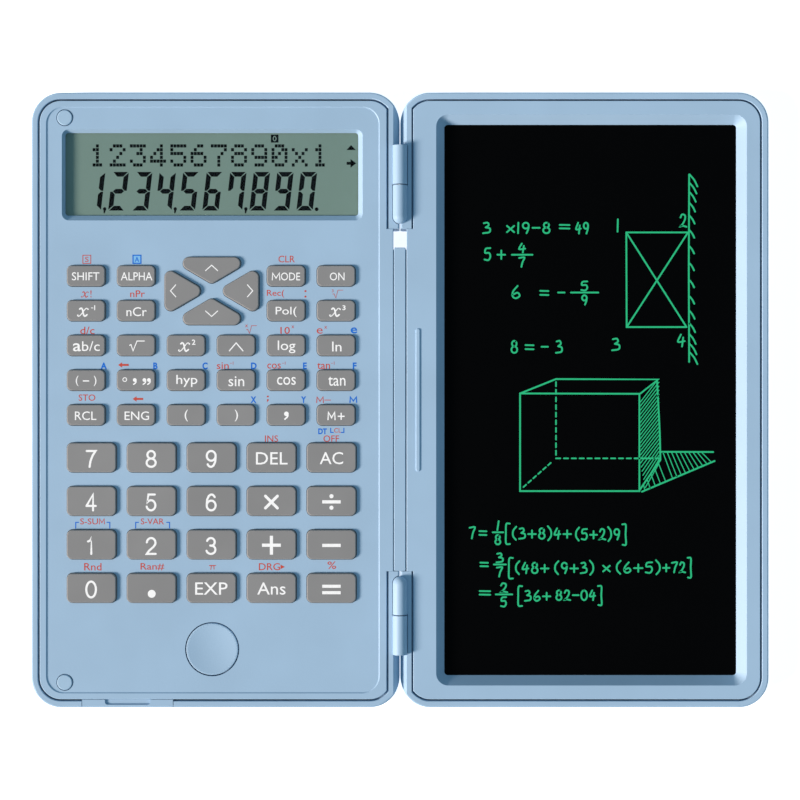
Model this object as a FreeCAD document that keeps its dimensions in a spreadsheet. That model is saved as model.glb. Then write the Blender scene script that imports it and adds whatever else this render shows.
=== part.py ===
import FreeCAD, Part
import math
import os

import Sketcher
from FreeCAD import Placement, Rotation, Vector

# A folding calculator: the calculator half lies at -X, the lid with a writing tablet at +X.
# Both halves lie open with their faces up. The hinge axis runs along Y at X = 0, above the faces.
# Sizes are millimetres. The origin is the middle of the footprint, on the underside.

DIMENSIONS = {
    # the two halves
    "half_reach": 97.95,            # hinge axis to the far side of each half
    "half_length": 163.5,
    "half_thickness": 7.0,
    "inner_gap": 0.1,             # hinge axis to each inner side
    "corner_radius": 8.0,
    "top_rounding": 0.55,
    "bottom_rounding": 1.6,
    "floor_thickness": 1.2,
    "rim_width": 1.8,
    "seam": 0.46,
    "ledge_width": 1.1,
    "ledge_height": 5.4,           # underside of both face plates
    "edge_break": 0.2,
    "rim_break": 0.2,              # rounding of the rim's inner edge
    "shoulder_width": 1.7,         # bevel of each half's inner side, beyond the hinges
    "shoulder_depth": 2.9,
    "seat_clearance": 0.1,         # around a sheet that lies in its seat
    "merge": 0.05,                 # how far a feature sinks into the one that it grows from
    # hinge and the gap between the halves
    "hinge_height": 7.25,
    "knuckle_radius": 1.92,
    "knuckle_relief": 2.1,
    "knuckle_gap": 0.3,
    "upper_hinge_start": 46.75,
    "upper_hinge_split": 57.05,
    "upper_hinge_end": 67.5,
    "lower_hinge_start": -46.75,
    "lower_hinge_split": -57.0,
    "lower_hinge_end": -67.5,
    "pin_radius": 0.6,
    "pin_hole_fixed": 0.62,
    "pin_hole_turning": 0.65,
    "pin_cover": 1.3,
    "bracket_width": 3.05,
    "bracket_upper": 45.5,
    "bracket_lower": -45.5,
    "middle_edge": 1.75,
    "channel_wall": 1.85,
    # stylus
    "stylus_left": -1.6,
    "stylus_right": 1.5,
    "stylus_bottom": 2.6,
    "stylus_upper_end": 40.5,
    "stylus_lower_end": -45.4,
    "stylus_nib_length": 7.0,
    "stylus_nib_height": 1.2,
    "stylus_rounding": 0.3,
    "cradle_right": 1.75,
    "cradle_bottom": 1.4,
    "cradle_top": 2.55,
    "cradle_start": -45.3,
    "cradle_end": 40.4,
    # calculator face
    "field_far": 94.0,
    "field_near": 5.4,
    "field_end": 77.9,
    "field_radius": 4.6,
    "field_depth": 0.25,
    "field_slope": 48.0,
    "recess_far": 89.85,
    "recess_near": 9.9,
    "recess_lower": 47.7,
    "recess_upper": 71.95,
    "recess_radius": 1.9,
    "opening_far": 89.18,
    "opening_near": 11.12,
    "opening_lower": 49.15,
    "opening_upper": 71.15,
    "opening_radius": 0.8,
    "recess_floor": 5.3,
    "window_margin": 0.9,
    "window_frame_margin": 2.2,    # the frame under the face plate, around the window's seat
    "window_frame_depth": 0.9,
    "window_thickness": 0.3,
    "window_gap": 0.05,             # window to display glass
    "display_thickness": 1.1,
    "display_margin": 0.6,
    "connector_width": 2.0,
    "connector_inset": 1.2,
    # keys
    "key_top": 7.5,
    "flange_bottom": 4.75,
    "flange_thickness": 0.55,
    "flange_margin": 0.5,
    "key_clearance": 0.14,
    "key_edge": 0.35,
    "small_key_width": 10.2,
    "small_key_height": 5.5,
    "small_key_radius": 1.35,
    "small_key_far": 83.3,
    "small_key_upper": 32.95,
    "small_pitch_across": 13.27,
    "small_pitch_down": 9.23,
    "large_key_width": 13.15,
    "large_key_height": 7.8,
    "large_key_radius": 1.5,
    "large_key_far": 81.85,
    "large_key_upper": -15.27,
    "large_pitch_across": 15.92,
    "large_pitch_down": 11.54,
    "cursor_centre_reach": 49.95,
    "cursor_centre_length": 28.95,
    "cursor_radius": 1.7,
    "cursor_upright_base": 9.0,    # cursor centre to the flat side of the up and down keys
    "cursor_upright_tip": 1.8,
    "cursor_upright_half": 12.2,
    "cursor_sideways_base": 12.55,  # cursor centre to the flat side of the left and right keys
    "cursor_sideways_tip": 1.3,
    "cursor_sideways_half": 6.55,
    # erase button, corner plugs
    "button_reach": 49.9,
    "button_length": -66.2,
    "button_radius": 6.9,
    "button_clearance": 0.3,
    "button_top": 6.7,
    "button_dish": 0.35,
    "button_flange": 1.0,
    "plug_reach": 89.05,
    "plug_length": 75.0,
    "plug_radius": 2.05,
    "plug_clearance": 0.2,
    "plug_bottom": 6.0,
    "plug_top": 7.0,
    "plug_edge": 0.3,
    # battery tray and coin cell
    "tray_far": 84.4,
    "tray_near": 60.3,
    "tray_gap": 0.15,
    "tray_bottom": 1.35,
    "tray_top": 4.75,
    "tray_inner_end": -57.4,
    "tray_plate_inset": 0.5,
    "nail_notch_half": 6.0,
    "nail_notch_depth": 0.95,
    "nail_notch_height": 0.45,
    "nail_notch_radius": 0.7,
    "tray_seam": 0.08,             # tray front to face plate
    "cell_radius": 10.0,
    "cell_height": 3.2,
    "cell_bottom": 1.6,
    "cell_clearance": 0.12,
    "rail_width": 0.6,
    "contact_thickness": 0.2,
    "contact_width": 3.0,
    "contact_reach": 72.35,
    "contact_clearance": 0.2,
    "contact_gap": 0.03,
    "contact_hole": 3.0,
    # board and key membrane
    "board_bottom": 2.3,
    "board_thickness": 0.8,
    "board_far": 92.0,
    "board_near": 6.0,
    "board_upper": 71.5,
    "board_lower": -72.0,
    "board_notch_near": 58.6,
    "board_notch_upper": -55.6,
    "membrane_thickness": 0.5,
    "membrane_margin": 1.4,
    "chip_far": 56.0,
    "chip_near": 44.0,
    "chip_lower": 56.0,
    "chip_upper": 68.0,
    "chip_height": 0.4,
    "dome_radius": 2.2,
    "dome_height": 0.25,
    "post_radius": 1.6,
    # screws
    "screw_far": 90.0,
    "screw_near": 9.0,
    "screw_length": 75.4,
    "lid_screw_length": 77.4,
    "lid_screw_far": 91.0,
    "boss_radius": 1.9,
    "boss_split": 2.4,
    "screw_radius": 0.8,
    "screw_hole": 0.85,
    "screw_end": 4.9,
    "screw_head_radius": 1.5,
    "screw_head_hole": 1.65,
    "screw_head_top": 1.1,
    "screw_head_bottom": 0.15,
    "screw_slot": 0.5,
    "screw_slot_half_width": 0.2,
    # lid face and writing tablet
    "screen_far": 89.85,
    "screen_near": 11.85,
    "screen_end": 73.55,
    "screen_bevel": 2.25,
    "screen_depth": 2.8,
    "bevel_radius": 3.2,
    "film_margin": 1.7,
    "frame_margin": 3.0,           # width of the frame under the plate, around the writing area
    "film_thickness": 0.6,
    "backplate_thickness": 1.0,
    "rib_near": 4.15,
    "rib_far": 5.35,
    "rib_half_length": 19.0,
    "rib_height": 0.3,
    "stiffener_width": 1.2,
}

CALCULATOR = -1                   # the side of the hinge axis that each half lies on
LID = 1
KEY_COLUMNS = 6
HINGE_SIDE = 12.0                 # edges nearer to the hinge axis than this lie beside the hinges

# Each row of small keys, from the far side of the half to the hinge. A gap holds no key.
SMALL_KEYS = (
    ("key_shift", "key_alpha", None, None, "key_mode", "key_on"),
    ("key_reciprocal", "key_combination", None, None, "key_polar", "key_cube"),
    ("key_fraction", "key_square_root", "key_square", "key_power", "key_log", "key_ln"),
)
# The last two rows of small keys: the six keycaps of each row share one node.
SMALL_KEY_ROWS = ("keys_trigonometry", "keys_memory")
LARGE_KEYS = (
    ("key_7", "key_8", "key_9", "key_delete", "key_clear"),
    ("key_4", "key_5", "key_6", "key_multiply", "key_divide"),
    ("key_1", "key_2", "key_3", "key_plus", "key_minus"),
    ("key_0", "key_point", "key_exponent", "key_answer", "key_equals"),
)

doc = FreeCAD.newDocument("folding_calculator")
sheet = doc.addObject("Spreadsheet::Sheet", "Spec")
for row, (alias, size) in enumerate(DIMENSIONS.items(), start=1):
    sheet.set(f"A{row}", alias)
    sheet.set(f"B{row}", str(size))
    sheet.setAlias(f"B{row}", alias)
doc.recompute()
gauge = doc.addObject("App::FeaturePython", "Gauge")
nodes = []


# ---------------------------------------------------------------- expressions

def spec(text):
    """An expression in which each {alias} stands for its spreadsheet cell."""
    return text.replace("{", "Spec.").replace("}", "")


def number(expression):
    """The present value of an expression."""
    return float(gauge.evalExpression(expression))


def across(side, near, far):
    """Left and right limits on one side of the hinge axis, from two distances to that axis."""
    if side == LID:
        return near, far
    return f"-({far})", f"-({near})"


# ---------------------------------------------------------------- sketches

def bind(sketch, kind, *geometry, size):
    """Adds a dimension whose size follows an expression."""
    index = sketch.addConstraint(Sketcher.Constraint(kind, *geometry, number(size)))
    sketch.setExpression(f"Constraints[{index}]", size)


def pin_point(sketch, geometry, end, x=None, y=None):
    """Fixes one end of a line or arc to a distance from the sketch's axes."""
    if x is not None:
        bind(sketch, "DistanceX", -1, 1, geometry, end, size=x)
    if y is not None:
        bind(sketch, "DistanceY", -1, 1, geometry, end, size=y)


def sketch_at(body, height, name):
    """An empty horizontal sketch in a body, at a height."""
    sketch = body.newObject("Sketcher::SketchObject", name)
    plane = next(f for f in body.Origin.OriginFeatures if f.Role == "XY_Plane")
    sketch.AttachmentSupport = [(plane, "")]
    sketch.MapMode = "FlatFace"
    sketch.setExpression(".AttachmentOffset.Base.z", height)
    return sketch


def add_line(sketch, start, end):
    return sketch.addGeometry(Part.LineSegment(Vector(*start, 0), Vector(*end, 0)))


def add_arc(sketch, centre, radius, start, end):
    """An arc between two angles in degrees, drawn anticlockwise."""
    circle = Part.Circle(Vector(*centre, 0), Vector(0, 0, 1), radius)
    return sketch.addGeometry(Part.ArcOfCircle(circle, math.radians(start), math.radians(end)))


def add_circle(sketch, x, y, radius):
    """A circle with its centre and radius bound."""
    centre = Vector(number(x), number(y), 0)
    circle = sketch.addGeometry(Part.Circle(centre, Vector(0, 0, 1), number(radius)))
    bind(sketch, "Radius", circle, size=radius)
    pin_point(sketch, circle, 3, x, y)


def add_rectangle(sketch, left, right, bottom, top):
    """A sharp-cornered rectangle with its four sides bound."""
    x0, x1, y0, y1 = (number(side) for side in (left, right, bottom, top))
    corners = [(x0, y0), (x1, y0), (x1, y1), (x0, y1)]
    lines = [add_line(sketch, corners[i], corners[(i + 1) % 4]) for i in range(4)]
    for i, line in enumerate(lines):
        sketch.addConstraint(Sketcher.Constraint("Coincident", line, 2, lines[(i + 1) % 4], 1))
        direction = "Vertical" if i % 2 else "Horizontal"
        sketch.addConstraint(Sketcher.Constraint(direction, line))
    pin_point(sketch, lines[0], 1, left, bottom)
    pin_point(sketch, lines[2], 1, right, top)


def add_rounded_rectangle(sketch, left, right, bottom, top, radius):
    """A rectangle with one radius at every corner, its sides and radius bound."""
    x0, x1, y0, y1, r = (number(size) for size in (left, right, bottom, top, radius))
    centres = [(x1 - r, y1 - r), (x0 + r, y1 - r), (x0 + r, y0 + r), (x1 - r, y0 + r)]
    turns = [(1, 0), (0, 1), (-1, 0), (0, -1)]
    arcs = [add_arc(sketch, c, r, 90 * i, 90 * (i + 1)) for i, c in enumerate(centres)]
    lines = []
    for i in range(4):
        (cx, cy), (nx, ny) = centres[i], centres[(i + 1) % 4]
        tx, ty = turns[(i + 1) % 4]
        lines.append(add_line(sketch, (cx + r * tx, cy + r * ty), (nx + r * tx, ny + r * ty)))
    for i in range(4):
        sketch.addConstraint(Sketcher.Constraint("Tangent", arcs[i], 2, lines[i], 1))
        sketch.addConstraint(Sketcher.Constraint("Tangent", lines[i], 2, arcs[(i + 1) % 4], 1))
        direction = "Vertical" if i % 2 else "Horizontal"
        sketch.addConstraint(Sketcher.Constraint(direction, lines[i]))
        if i:
            sketch.addConstraint(Sketcher.Constraint("Equal", arcs[0], arcs[i]))
    bind(sketch, "Radius", arcs[0], size=radius)
    pin_point(sketch, lines[0], 1, y=top)
    pin_point(sketch, lines[1], 1, x=left)
    pin_point(sketch, lines[2], 1, y=bottom)
    pin_point(sketch, lines[3], 1, x=right)


def add_triangle(sketch, corners):
    """A sharp triangle with every corner bound."""
    points = [(number(x), number(y)) for x, y in corners]
    lines = [add_line(sketch, points[i], points[(i + 1) % 3]) for i in range(3)]
    for i, line in enumerate(lines):
        sketch.addConstraint(Sketcher.Constraint("Coincident", line, 2, lines[(i + 1) % 3], 1))
        pin_point(sketch, line, 1, *corners[i])


def add_face_outline(sketch, side, inset, hinge_edge, middle_edge):
    """The outline of one half's face plate, inset from the half's own outline.

    It steps back from the hinge axis beside both hinges and runs closer to it between them.
    """
    top = spec("{half_length} / 2 - ") + inset
    far = spec("{half_reach} - ") + inset
    radius = spec("{corner_radius} - ") + inset
    centre_far = spec("{half_reach} - {corner_radius}")
    centre_near = spec("{inner_gap} + {corner_radius}")
    centre_top = spec("{half_length} / 2 - {corner_radius}")
    upper, lower = spec("{bracket_upper}"), spec("{bracket_lower}")
    t, f, r, cf, cn, ct, up, low, hinge, mid = (
        number(size) for size in (top, far, radius, centre_far, centre_near, centre_top,
                                  upper, lower, hinge_edge, middle_edge))
    reach = math.sqrt(r ** 2 - (cn - hinge) ** 2)
    path = [
        ((cf, t), (cn, t)), ("near", 1), ((hinge, ct + reach), (hinge, up)),
        ((hinge, up), (mid, up)), ((mid, up), (mid, low)), ((mid, low), (hinge, low)),
        ((hinge, low), (hinge, -ct - reach)), ("near", -1), ((cn, -t), (cf, -t)), ("far", -1),
        ((f, -ct), (f, ct)), ("far", 1),
    ]
    lean = math.degrees(math.atan2(reach, cn - hinge))
    links = []
    for start, end in path:
        if start in ("near", "far"):
            centre = (side * (cn if start == "near" else cf), end * ct)
            outward = 180 if (start == "far") == (side == CALCULATOR) else 0
            stop = outward if start == "far" else (180 - lean if side == LID else lean)
            angles = sorted([90, stop])
            if end < 0:
                angles = [-angles[1], -angles[0]]
            arc = add_arc(sketch, centre, r, *angles)
            links.append((arc, True))
        else:
            line = add_line(sketch, (side * start[0], start[1]), (side * end[0], end[1]))
            links.append((line, False))
    for i, (link, is_arc) in enumerate(links):
        following, next_is_arc = links[(i + 1) % len(links)]
        smooth = is_arc != next_is_arc and (i, i + 1) not in ((1, 2), (6, 7))
        ends = [(a, b) for a in (1, 2) for b in (1, 2)
                if sketch.getPoint(link, a).isEqual(sketch.getPoint(following, b), 1e-6)]
        kind = "Tangent" if smooth else "Coincident"
        sketch.addConstraint(Sketcher.Constraint(kind, link, ends[0][0], following, ends[0][1]))
    for i, direction in ((0, "Horizontal"), (2, "Vertical"), (3, "Horizontal"), (4, "Vertical"),
                         (5, "Horizontal"), (6, "Vertical"), (8, "Horizontal"), (10, "Vertical")):
        sketch.addConstraint(Sketcher.Constraint(direction, links[i][0]))
    for i in (7, 9, 11):
        sketch.addConstraint(Sketcher.Constraint("Equal", links[1][0], links[i][0]))
    bind(sketch, "Radius", links[1][0], size=radius)
    pin_point(sketch, links[1][0], 3, f"{side} * ({centre_near})", centre_top)
    pin_point(sketch, links[7][0], 3, f"{side} * ({centre_near})", f"-({centre_top})")
    pin_point(sketch, links[9][0], 3, f"{side} * ({centre_far})")
    pin_point(sketch, links[3][0], 1, f"{side} * ({hinge_edge})", upper)
    pin_point(sketch, links[5][0], 1, f"{side} * ({middle_edge})", lower)
    pin_point(sketch, links[6][0], 1, f"{side} * ({hinge_edge})")


# ---------------------------------------------------------------- solid features

def new_body(label):
    """A sub-part: its label names its file."""
    body = doc.addObject("PartDesign::Body", label)
    body.AllowCompound = True
    nodes.append(body)
    return body


def volume_of(body):
    return body.Tip.Shape.Volume if body.Tip else 0.0


def settle(body, before, grows):
    """Recomputes a body and stops if its last feature changed nothing or failed."""
    doc.recompute()
    change = volume_of(body) - before
    if not body.Tip.isValid() or (change <= 0) == grows:
        raise RuntimeError(f"{body.Label}: {body.Tip.Label} changed the volume by {change:.4f}")


def extrude(body, kind, sketch, length, taper=None):
    """Pads a sketch upwards or pockets it downwards."""
    before = volume_of(body)
    feature = body.newObject(f"PartDesign::{kind}", f"{sketch.Name}_{kind}")
    feature.Profile = sketch
    feature.setExpression("Length", length)
    if taper:
        feature.setExpression("TaperAngle", taper)
    feature.Refine = False
    body.Tip = feature
    settle(body, before, kind == "Pad")
    return feature


def pad(body, sketch, length, taper=None):
    return extrude(body, "Pad", sketch, length, taper)


def pocket(body, sketch, length, taper=None):
    return extrude(body, "Pocket", sketch, length, taper)


def block(body, kind, name, height, thickness, left, right, bottom, top):
    """A rectangular pad or pocket between four side expressions."""
    sketch = sketch_at(body, height, name)
    add_rectangle(sketch, left, right, bottom, top)
    return extrude(body, kind, sketch, thickness)


def disc(body, kind, name, height, thickness, centres, radius):
    """Round pads or pockets of one radius at one or more centres."""
    sketch = sketch_at(body, height, name)
    for x, y in centres:
        add_circle(sketch, x, y, radius)
    return extrude(body, kind, sketch, thickness)


def round_over(body, radius, pick):
    """Fillets the edges around the faces, or the edges, that a test picks out."""
    shape = body.Tip.Shape
    names = [f"Face{i}" for i, face in enumerate(shape.Faces, start=1) if pick(face)]
    before = volume_of(body)
    fillet = body.newObject("PartDesign::Fillet", f"{body.Name}_rounding")
    fillet.Base = (body.Tip if body.Tip != fillet else fillet.BaseFeature, names)
    fillet.setExpression("Radius", radius)
    body.Tip = fillet
    settle(body, before, False)


def faces_up_at(height):
    """A test for flat faces that look up at a height."""
    def test(face):
        centre = face.CenterOfMass
        return (abs(centre.z - height) < 1e-4
                and face.BoundBox.ZLength < 1e-4)
    return test


def round_part(body, kind, name, radius, start, end):
    """A cylinder about the hinge axis, added or cut, between two places along it."""
    low, high = sorted((start, end), key=number)
    before = volume_of(body)
    feature = body.newObject(f"PartDesign::{kind}Cylinder", name)
    feature.Placement = Placement(Vector(0, 0, 0), Rotation(Vector(1, 0, 0), -90))
    feature.setExpression("Radius", radius)
    feature.setExpression("Height", f"({high}) - ({low})")
    feature.setExpression(".Placement.Base.y", low)
    feature.setExpression(".Placement.Base.z", spec("{hinge_height}"))
    feature.Refine = False
    body.Tip = feature
    settle(body, before, kind == "Additive")


def half_ball(body, kind, name, radius, place, direction):
    """Half a sphere on the hinge axis, added or cut, that bulges against the direction."""
    before = volume_of(body)
    feature = body.newObject(f"PartDesign::{kind}Sphere", name)
    feature.Placement = Placement(Vector(0, 0, 0), Rotation(Vector(1, 0, 0), -90))
    feature.Angle1 = min(-90 * direction, 0)
    feature.Angle2 = max(-90 * direction, 0)
    feature.setExpression("Radius", radius)
    feature.setExpression(".Placement.Base.y", place)
    feature.setExpression(".Placement.Base.z", spec("{hinge_height}"))
    feature.Refine = False
    body.Tip = feature
    settle(body, before, kind == "Additive")


# ---------------------------------------------------------------- the two casings

def screw_places(side):
    """The four screw centres of one half."""
    far = "{screw_far}" if side == CALCULATOR else "{lid_screw_far}"
    length = "{screw_length}" if side == CALCULATOR else "{lid_screw_length}"
    return [(spec(f"{side} * {reach}"), spec(f"{sign} * {length}"))
            for reach in (far, "{screw_near}") for sign in (1, -1)]


def add_screw_posts(body, side):
    """Posts inside a shell's floor, each with a hole and a counterbore for a screw."""
    disc(body, "Pad", "screw_posts", spec("{floor_thickness}"),
         spec("{boss_split} - {floor_thickness}"), screw_places(side), spec("{boss_radius}"))
    disc(body, "Pocket", "screw_holes", spec("{boss_split}"), spec("{boss_split} + 1"),
         screw_places(side), spec("{screw_hole}"))
    disc(body, "Pocket", "screw_seats", spec("{screw_head_top}"), spec("{screw_head_top} + 1"),
         screw_places(side), spec("{screw_head_hole}"))


def round_rim_inside(body):
    """Rounds the rim's upper inner edges, above the wall of the face plate's recess.

    The edges beside the hinges stay sharp.
    """
    shape = body.Tip.Shape
    top, ledge = DIMENSIONS["half_thickness"], DIMENSIONS["ledge_height"]
    names = []
    for i, edge in enumerate(shape.Edges, start=1):
        box = edge.BoundBox
        walls = shape.ancestorsOfType(edge, Part.Face)
        borders_ledge = any(abs(wall.BoundBox.ZMin - ledge) < 1e-4 for wall in walls)
        reach = max(abs(box.XMin), abs(box.XMax))
        if box.ZMin > top - 1e-4 and borders_ledge and reach > HINGE_SIDE:
            names.append(f"Edge{i}")
    base = body.Tip
    before = volume_of(body)
    fillet = body.newObject("PartDesign::Fillet", f"{body.Name}_rim_inside")
    fillet.Base = (base, names)
    fillet.setExpression("Radius", spec("{rim_break}"))
    body.Tip = fillet
    settle(body, before, False)


def bevel_shoulders(body, side):
    """Bevels each half's inner side in a straight line from its hinges to its ends."""
    plane = next(f for f in body.Origin.OriginFeatures if f.Role == "XZ_Plane")
    near, reach = spec("{inner_gap}"), spec("({inner_gap} + {shoulder_width})")
    top, low = spec("{half_thickness}"), spec("({half_thickness} - {shoulder_depth})")
    for name, sign in (("upper", 1), ("lower", -1)):
        sketch = body.newObject("Sketcher::SketchObject", f"{body.Name}_{name}_shoulder")
        sketch.AttachmentSupport = [(plane, "")]
        sketch.MapMode = "FlatFace"
        start = spec(f"-{sign} * ({{half_length}} / 2 + 1)")
        sketch.setExpression(".AttachmentOffset.Base.z", start)
        add_triangle(sketch, ((f"{side} * {near}", top), (f"{side} * {reach}", top),
                              (f"{side} * {near}", low)))
        before = volume_of(body)
        cut = body.newObject("PartDesign::Pocket", f"{body.Name}_{name}_shoulder_cut")
        cut.Profile = sketch
        cut.Reversed = sign > 0
        _, _, _, outer = hinge_places(name)
        cut.setExpression("Length", spec("{half_length} / 2 + 1 - ") + f"{sign} * ({outer})"
                          + spec(" - {knuckle_gap} / 2"))
        cut.Refine = False
        body.Tip = cut
        settle(body, before, False)


def half_shell(label, side):
    """The tray-shaped casing of one half: floor, rim, ledge for the face plate, hinge side."""
    body = new_body(label)
    outline = sketch_at(body, "0", f"{label}_outline")
    left, right = across(side, spec("{inner_gap}"), spec("{half_reach}"))
    end = spec("{half_length} / 2")
    add_rounded_rectangle(outline, left, right, f"-{end}", end, spec("{corner_radius}"))
    pad(body, outline, spec("{half_thickness}"))
    round_over(body, spec("{top_rounding}"), faces_up_at(DIMENSIONS["half_thickness"]))
    round_over(body, spec("{bottom_rounding}"), faces_up_at(0.0))

    face = sketch_at(body, spec("{half_thickness}"), f"{label}_face_recess")
    add_face_outline(face, side, spec("{rim_width}"), spec("{bracket_width}"), "0.01")
    pocket(body, face, spec("{half_thickness} - {ledge_height}"))
    round_rim_inside(body)
    bevel_shoulders(body, side)

    inset = spec("{rim_width} + {ledge_width}")
    left, right = across(side, spec("{bracket_width} + {ledge_width}"),
                         spec("{half_reach} - ") + inset)
    cavity = sketch_at(body, spec("{ledge_height}"), f"{label}_cavity")
    add_rounded_rectangle(cavity, left, right, f"-({end} - {inset})", f"{end} - {inset}",
                          spec("{corner_radius} - ") + inset)
    pocket(body, cavity, spec("{ledge_height} - {floor_thickness}"))

    left, right = across(side, "-1", spec("{channel_wall}"))
    block(body, "Pocket", f"{label}_middle", spec("{half_thickness}"),
          spec("{half_thickness} + 1"), left, right, spec("{bracket_lower}"),
          spec("{bracket_upper}"))
    add_screw_posts(body, side)
    return body


def add_knuckle(body, name, start, end, hole, domed):
    """A hinge barrel with a blind pin hole that opens at its end."""
    direction = 1 if number(end) > number(start) else -1
    base = start
    if domed:
        base = f"({start} + {direction} * " + spec("{knuckle_radius})")
        half_ball(body, "Additive", f"{name}_dome", spec("{knuckle_radius}"), base, direction)
    round_part(body, "Additive", name, spec("{knuckle_radius}"), base, end)
    bottom = f"({start} + {direction} * " + spec("{pin_cover})")
    round_part(body, "Subtractive", f"{name}_hole", hole, bottom, f"({end} + {direction})")


def clear_knuckle(body, name, start, end, domed):
    """Room in one half for the other half's hinge barrel."""
    direction = 1 if number(end) > number(start) else -1
    base = f"({start} - {direction} * " + spec("{knuckle_gap} / 2)")
    if domed:
        base = f"({start} + {direction} * " + spec("{knuckle_radius})")
        half_ball(body, "Subtractive", f"{name}_end_room", spec("{knuckle_relief}"), base, direction)
    round_part(body, "Subtractive", f"{name}_room", spec("{knuckle_relief}"), base, end)


HINGES = ("upper", "lower")


def hinge_places(name):
    """Inner end, middle split (each side of its gap) and outer end of one hinge."""
    direction = 1 if name == "upper" else -1
    half_gap = f"{direction} * " + spec("{knuckle_gap} / 2")
    split = spec("{" + name + "_hinge_split}")
    return (spec("{" + name + "_hinge_start}"), f"({split} - {half_gap})",
            f"({split} + {half_gap})", spec("{" + name + "_hinge_end}"))


def make_base_shell():
    body = half_shell("base_shell", CALCULATOR)
    for name in HINGES:
        inner, inner_split, outer_split, outer = hinge_places(name)
        clear_knuckle(body, f"{name}_lid", inner, outer_split, domed=True)
        add_knuckle(body, f"{name}_base", outer, outer_split, spec("{pin_hole_fixed}"), domed=False)
    # the stylus lies on a narrow ledge that reaches across the gap
    block(body, "Pad", "cradle", spec("{cradle_bottom}"), spec("{cradle_top} - {cradle_bottom}"),
          spec("-{channel_wall} - 0.5"), spec("{cradle_right}"), spec("{cradle_start}"),
          spec("{cradle_end}"))
    # slot for the battery tray through the rim, with a guide rail at each side
    block(body, "Pocket", "tray_slot", spec("{half_thickness}"),
          spec("{half_thickness} - {floor_thickness}"), spec("-{tray_far} - {tray_gap}"),
          spec("-{tray_near} + {tray_gap}"), spec("-{half_length} / 2 - 1"),
          spec("-{half_length} / 2 + {rim_width} + {ledge_width} + 0.5"))
    rails = sketch_at(body, spec("{floor_thickness}"), "tray_rails")
    for edge, sign in (("{tray_far}", -1), ("{tray_near}", 1)):
        near = spec(f"-{edge} + {sign} * {{tray_gap}}")
        far = spec(f"-{edge} + {sign} * ({{tray_gap}} + {{rail_width}})")
        left, right = sorted((near, far), key=number)
        add_rectangle(rails, left, right,
                      spec("-{half_length} / 2 + {rim_width} + {ledge_width}"),
                      spec("{tray_inner_end}"))
    pad(body, rails, spec("{tray_top} - {floor_thickness} - 0.3"))
    # posts that carry the circuit board
    reaches = ("{board_far} - 4", "({board_far} + {board_near}) / 2", "{board_near} + 4")
    lengths = ("{board_upper} - 4", "10", "{board_notch_upper} + 6")
    disc(body, "Pad", "board_posts", spec("{floor_thickness}"),
         spec("{board_bottom} - {floor_thickness}"),
         [(spec(f"-({reach})"), spec(length)) for reach in reaches for length in lengths],
         spec("{post_radius}"))


def make_lid_shell():
    body = half_shell("lid_shell", LID)
    for name in HINGES:
        inner, inner_split, outer_split, outer = hinge_places(name)
        clear_knuckle(body, f"{name}_base", outer, inner_split, domed=False)
        add_knuckle(body, f"{name}_lid", inner, inner_split, spec("{pin_hole_turning}"), domed=True)
    # stiffening ribs under the writing tablet
    ribs = sketch_at(body, spec("{floor_thickness}"), "ribs")
    for share in (1, 2, 3, 4):
        centre = spec(f"{{screen_near}} + ({{screen_far}} - {{screen_near}}) * {share} / 5")
        add_rectangle(ribs, f"{centre} - " + spec("{stiffener_width} / 2"),
                      f"{centre} + " + spec("{stiffener_width} / 2"),
                      spec("-{screen_end} + 4"), spec("{screen_end} - 4"))
    film_bottom = "{half_thickness} - {screen_depth} - {film_thickness}"
    pad(body, ribs, spec(f"{film_bottom} - {{backplate_thickness}} - {{floor_thickness}}"))


# ---------------------------------------------------------------- the two face plates

def face_plate(label, side):
    """The plate that closes one half, lying on the shell's ledge, with its screw bosses."""
    body = new_body(label)
    bosses = sketch_at(body, spec("{boss_split}"), f"{label}_bosses")
    for x, y in screw_places(side):
        add_circle(bosses, x, y, spec("{boss_radius}"))
    outline = sketch_at(body, spec("{ledge_height}"), f"{label}_outline")
    add_face_outline(outline, side, spec("({rim_width} + {seam})"),
                     spec("({bracket_width} + {seam})"), spec("{middle_edge}"))
    pad(body, outline, spec("{half_thickness} - {ledge_height}"))
    round_over(body, spec("{edge_break}"), faces_up_at(DIMENSIONS["half_thickness"]))
    pad(body, bosses, spec("{ledge_height} - {boss_split}"))
    holes = sketch_at(body, spec("{screw_end}"), f"{label}_screw_holes")
    for x, y in screw_places(side):
        add_circle(holes, x, y, spec("{screw_hole}"))
    pocket(body, holes, spec("{screw_end} - {boss_split} + 1"))
    return body


def small_key_centre(column, line):
    """The centre of a small key's opening."""
    return (spec(f"-{{small_key_far}} + {column} * {{small_pitch_across}}"),
            spec(f"{{small_key_upper}} - {line} * {{small_pitch_down}}"))


def large_key_centre(column, line):
    return (spec(f"-{{large_key_far}} + {column} * {{large_pitch_across}}"),
            spec(f"{{large_key_upper}} - {line} * {{large_pitch_down}}"))


def add_key_outline(sketch, x, y, size, margin):
    """A keycap's rounded outline about a centre, grown by a margin."""
    half_width = spec(f"({{{size}_key_width}} / 2 + {margin})")
    half_height = spec(f"({{{size}_key_height}} / 2 + {margin})")
    add_rounded_rectangle(sketch, f"{x} - {half_width}", f"{x} + {half_width}",
                          f"{y} - {half_height}", f"{y} + {half_height}",
                          spec(f"{{{size}_key_radius}} + {margin}"))


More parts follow.
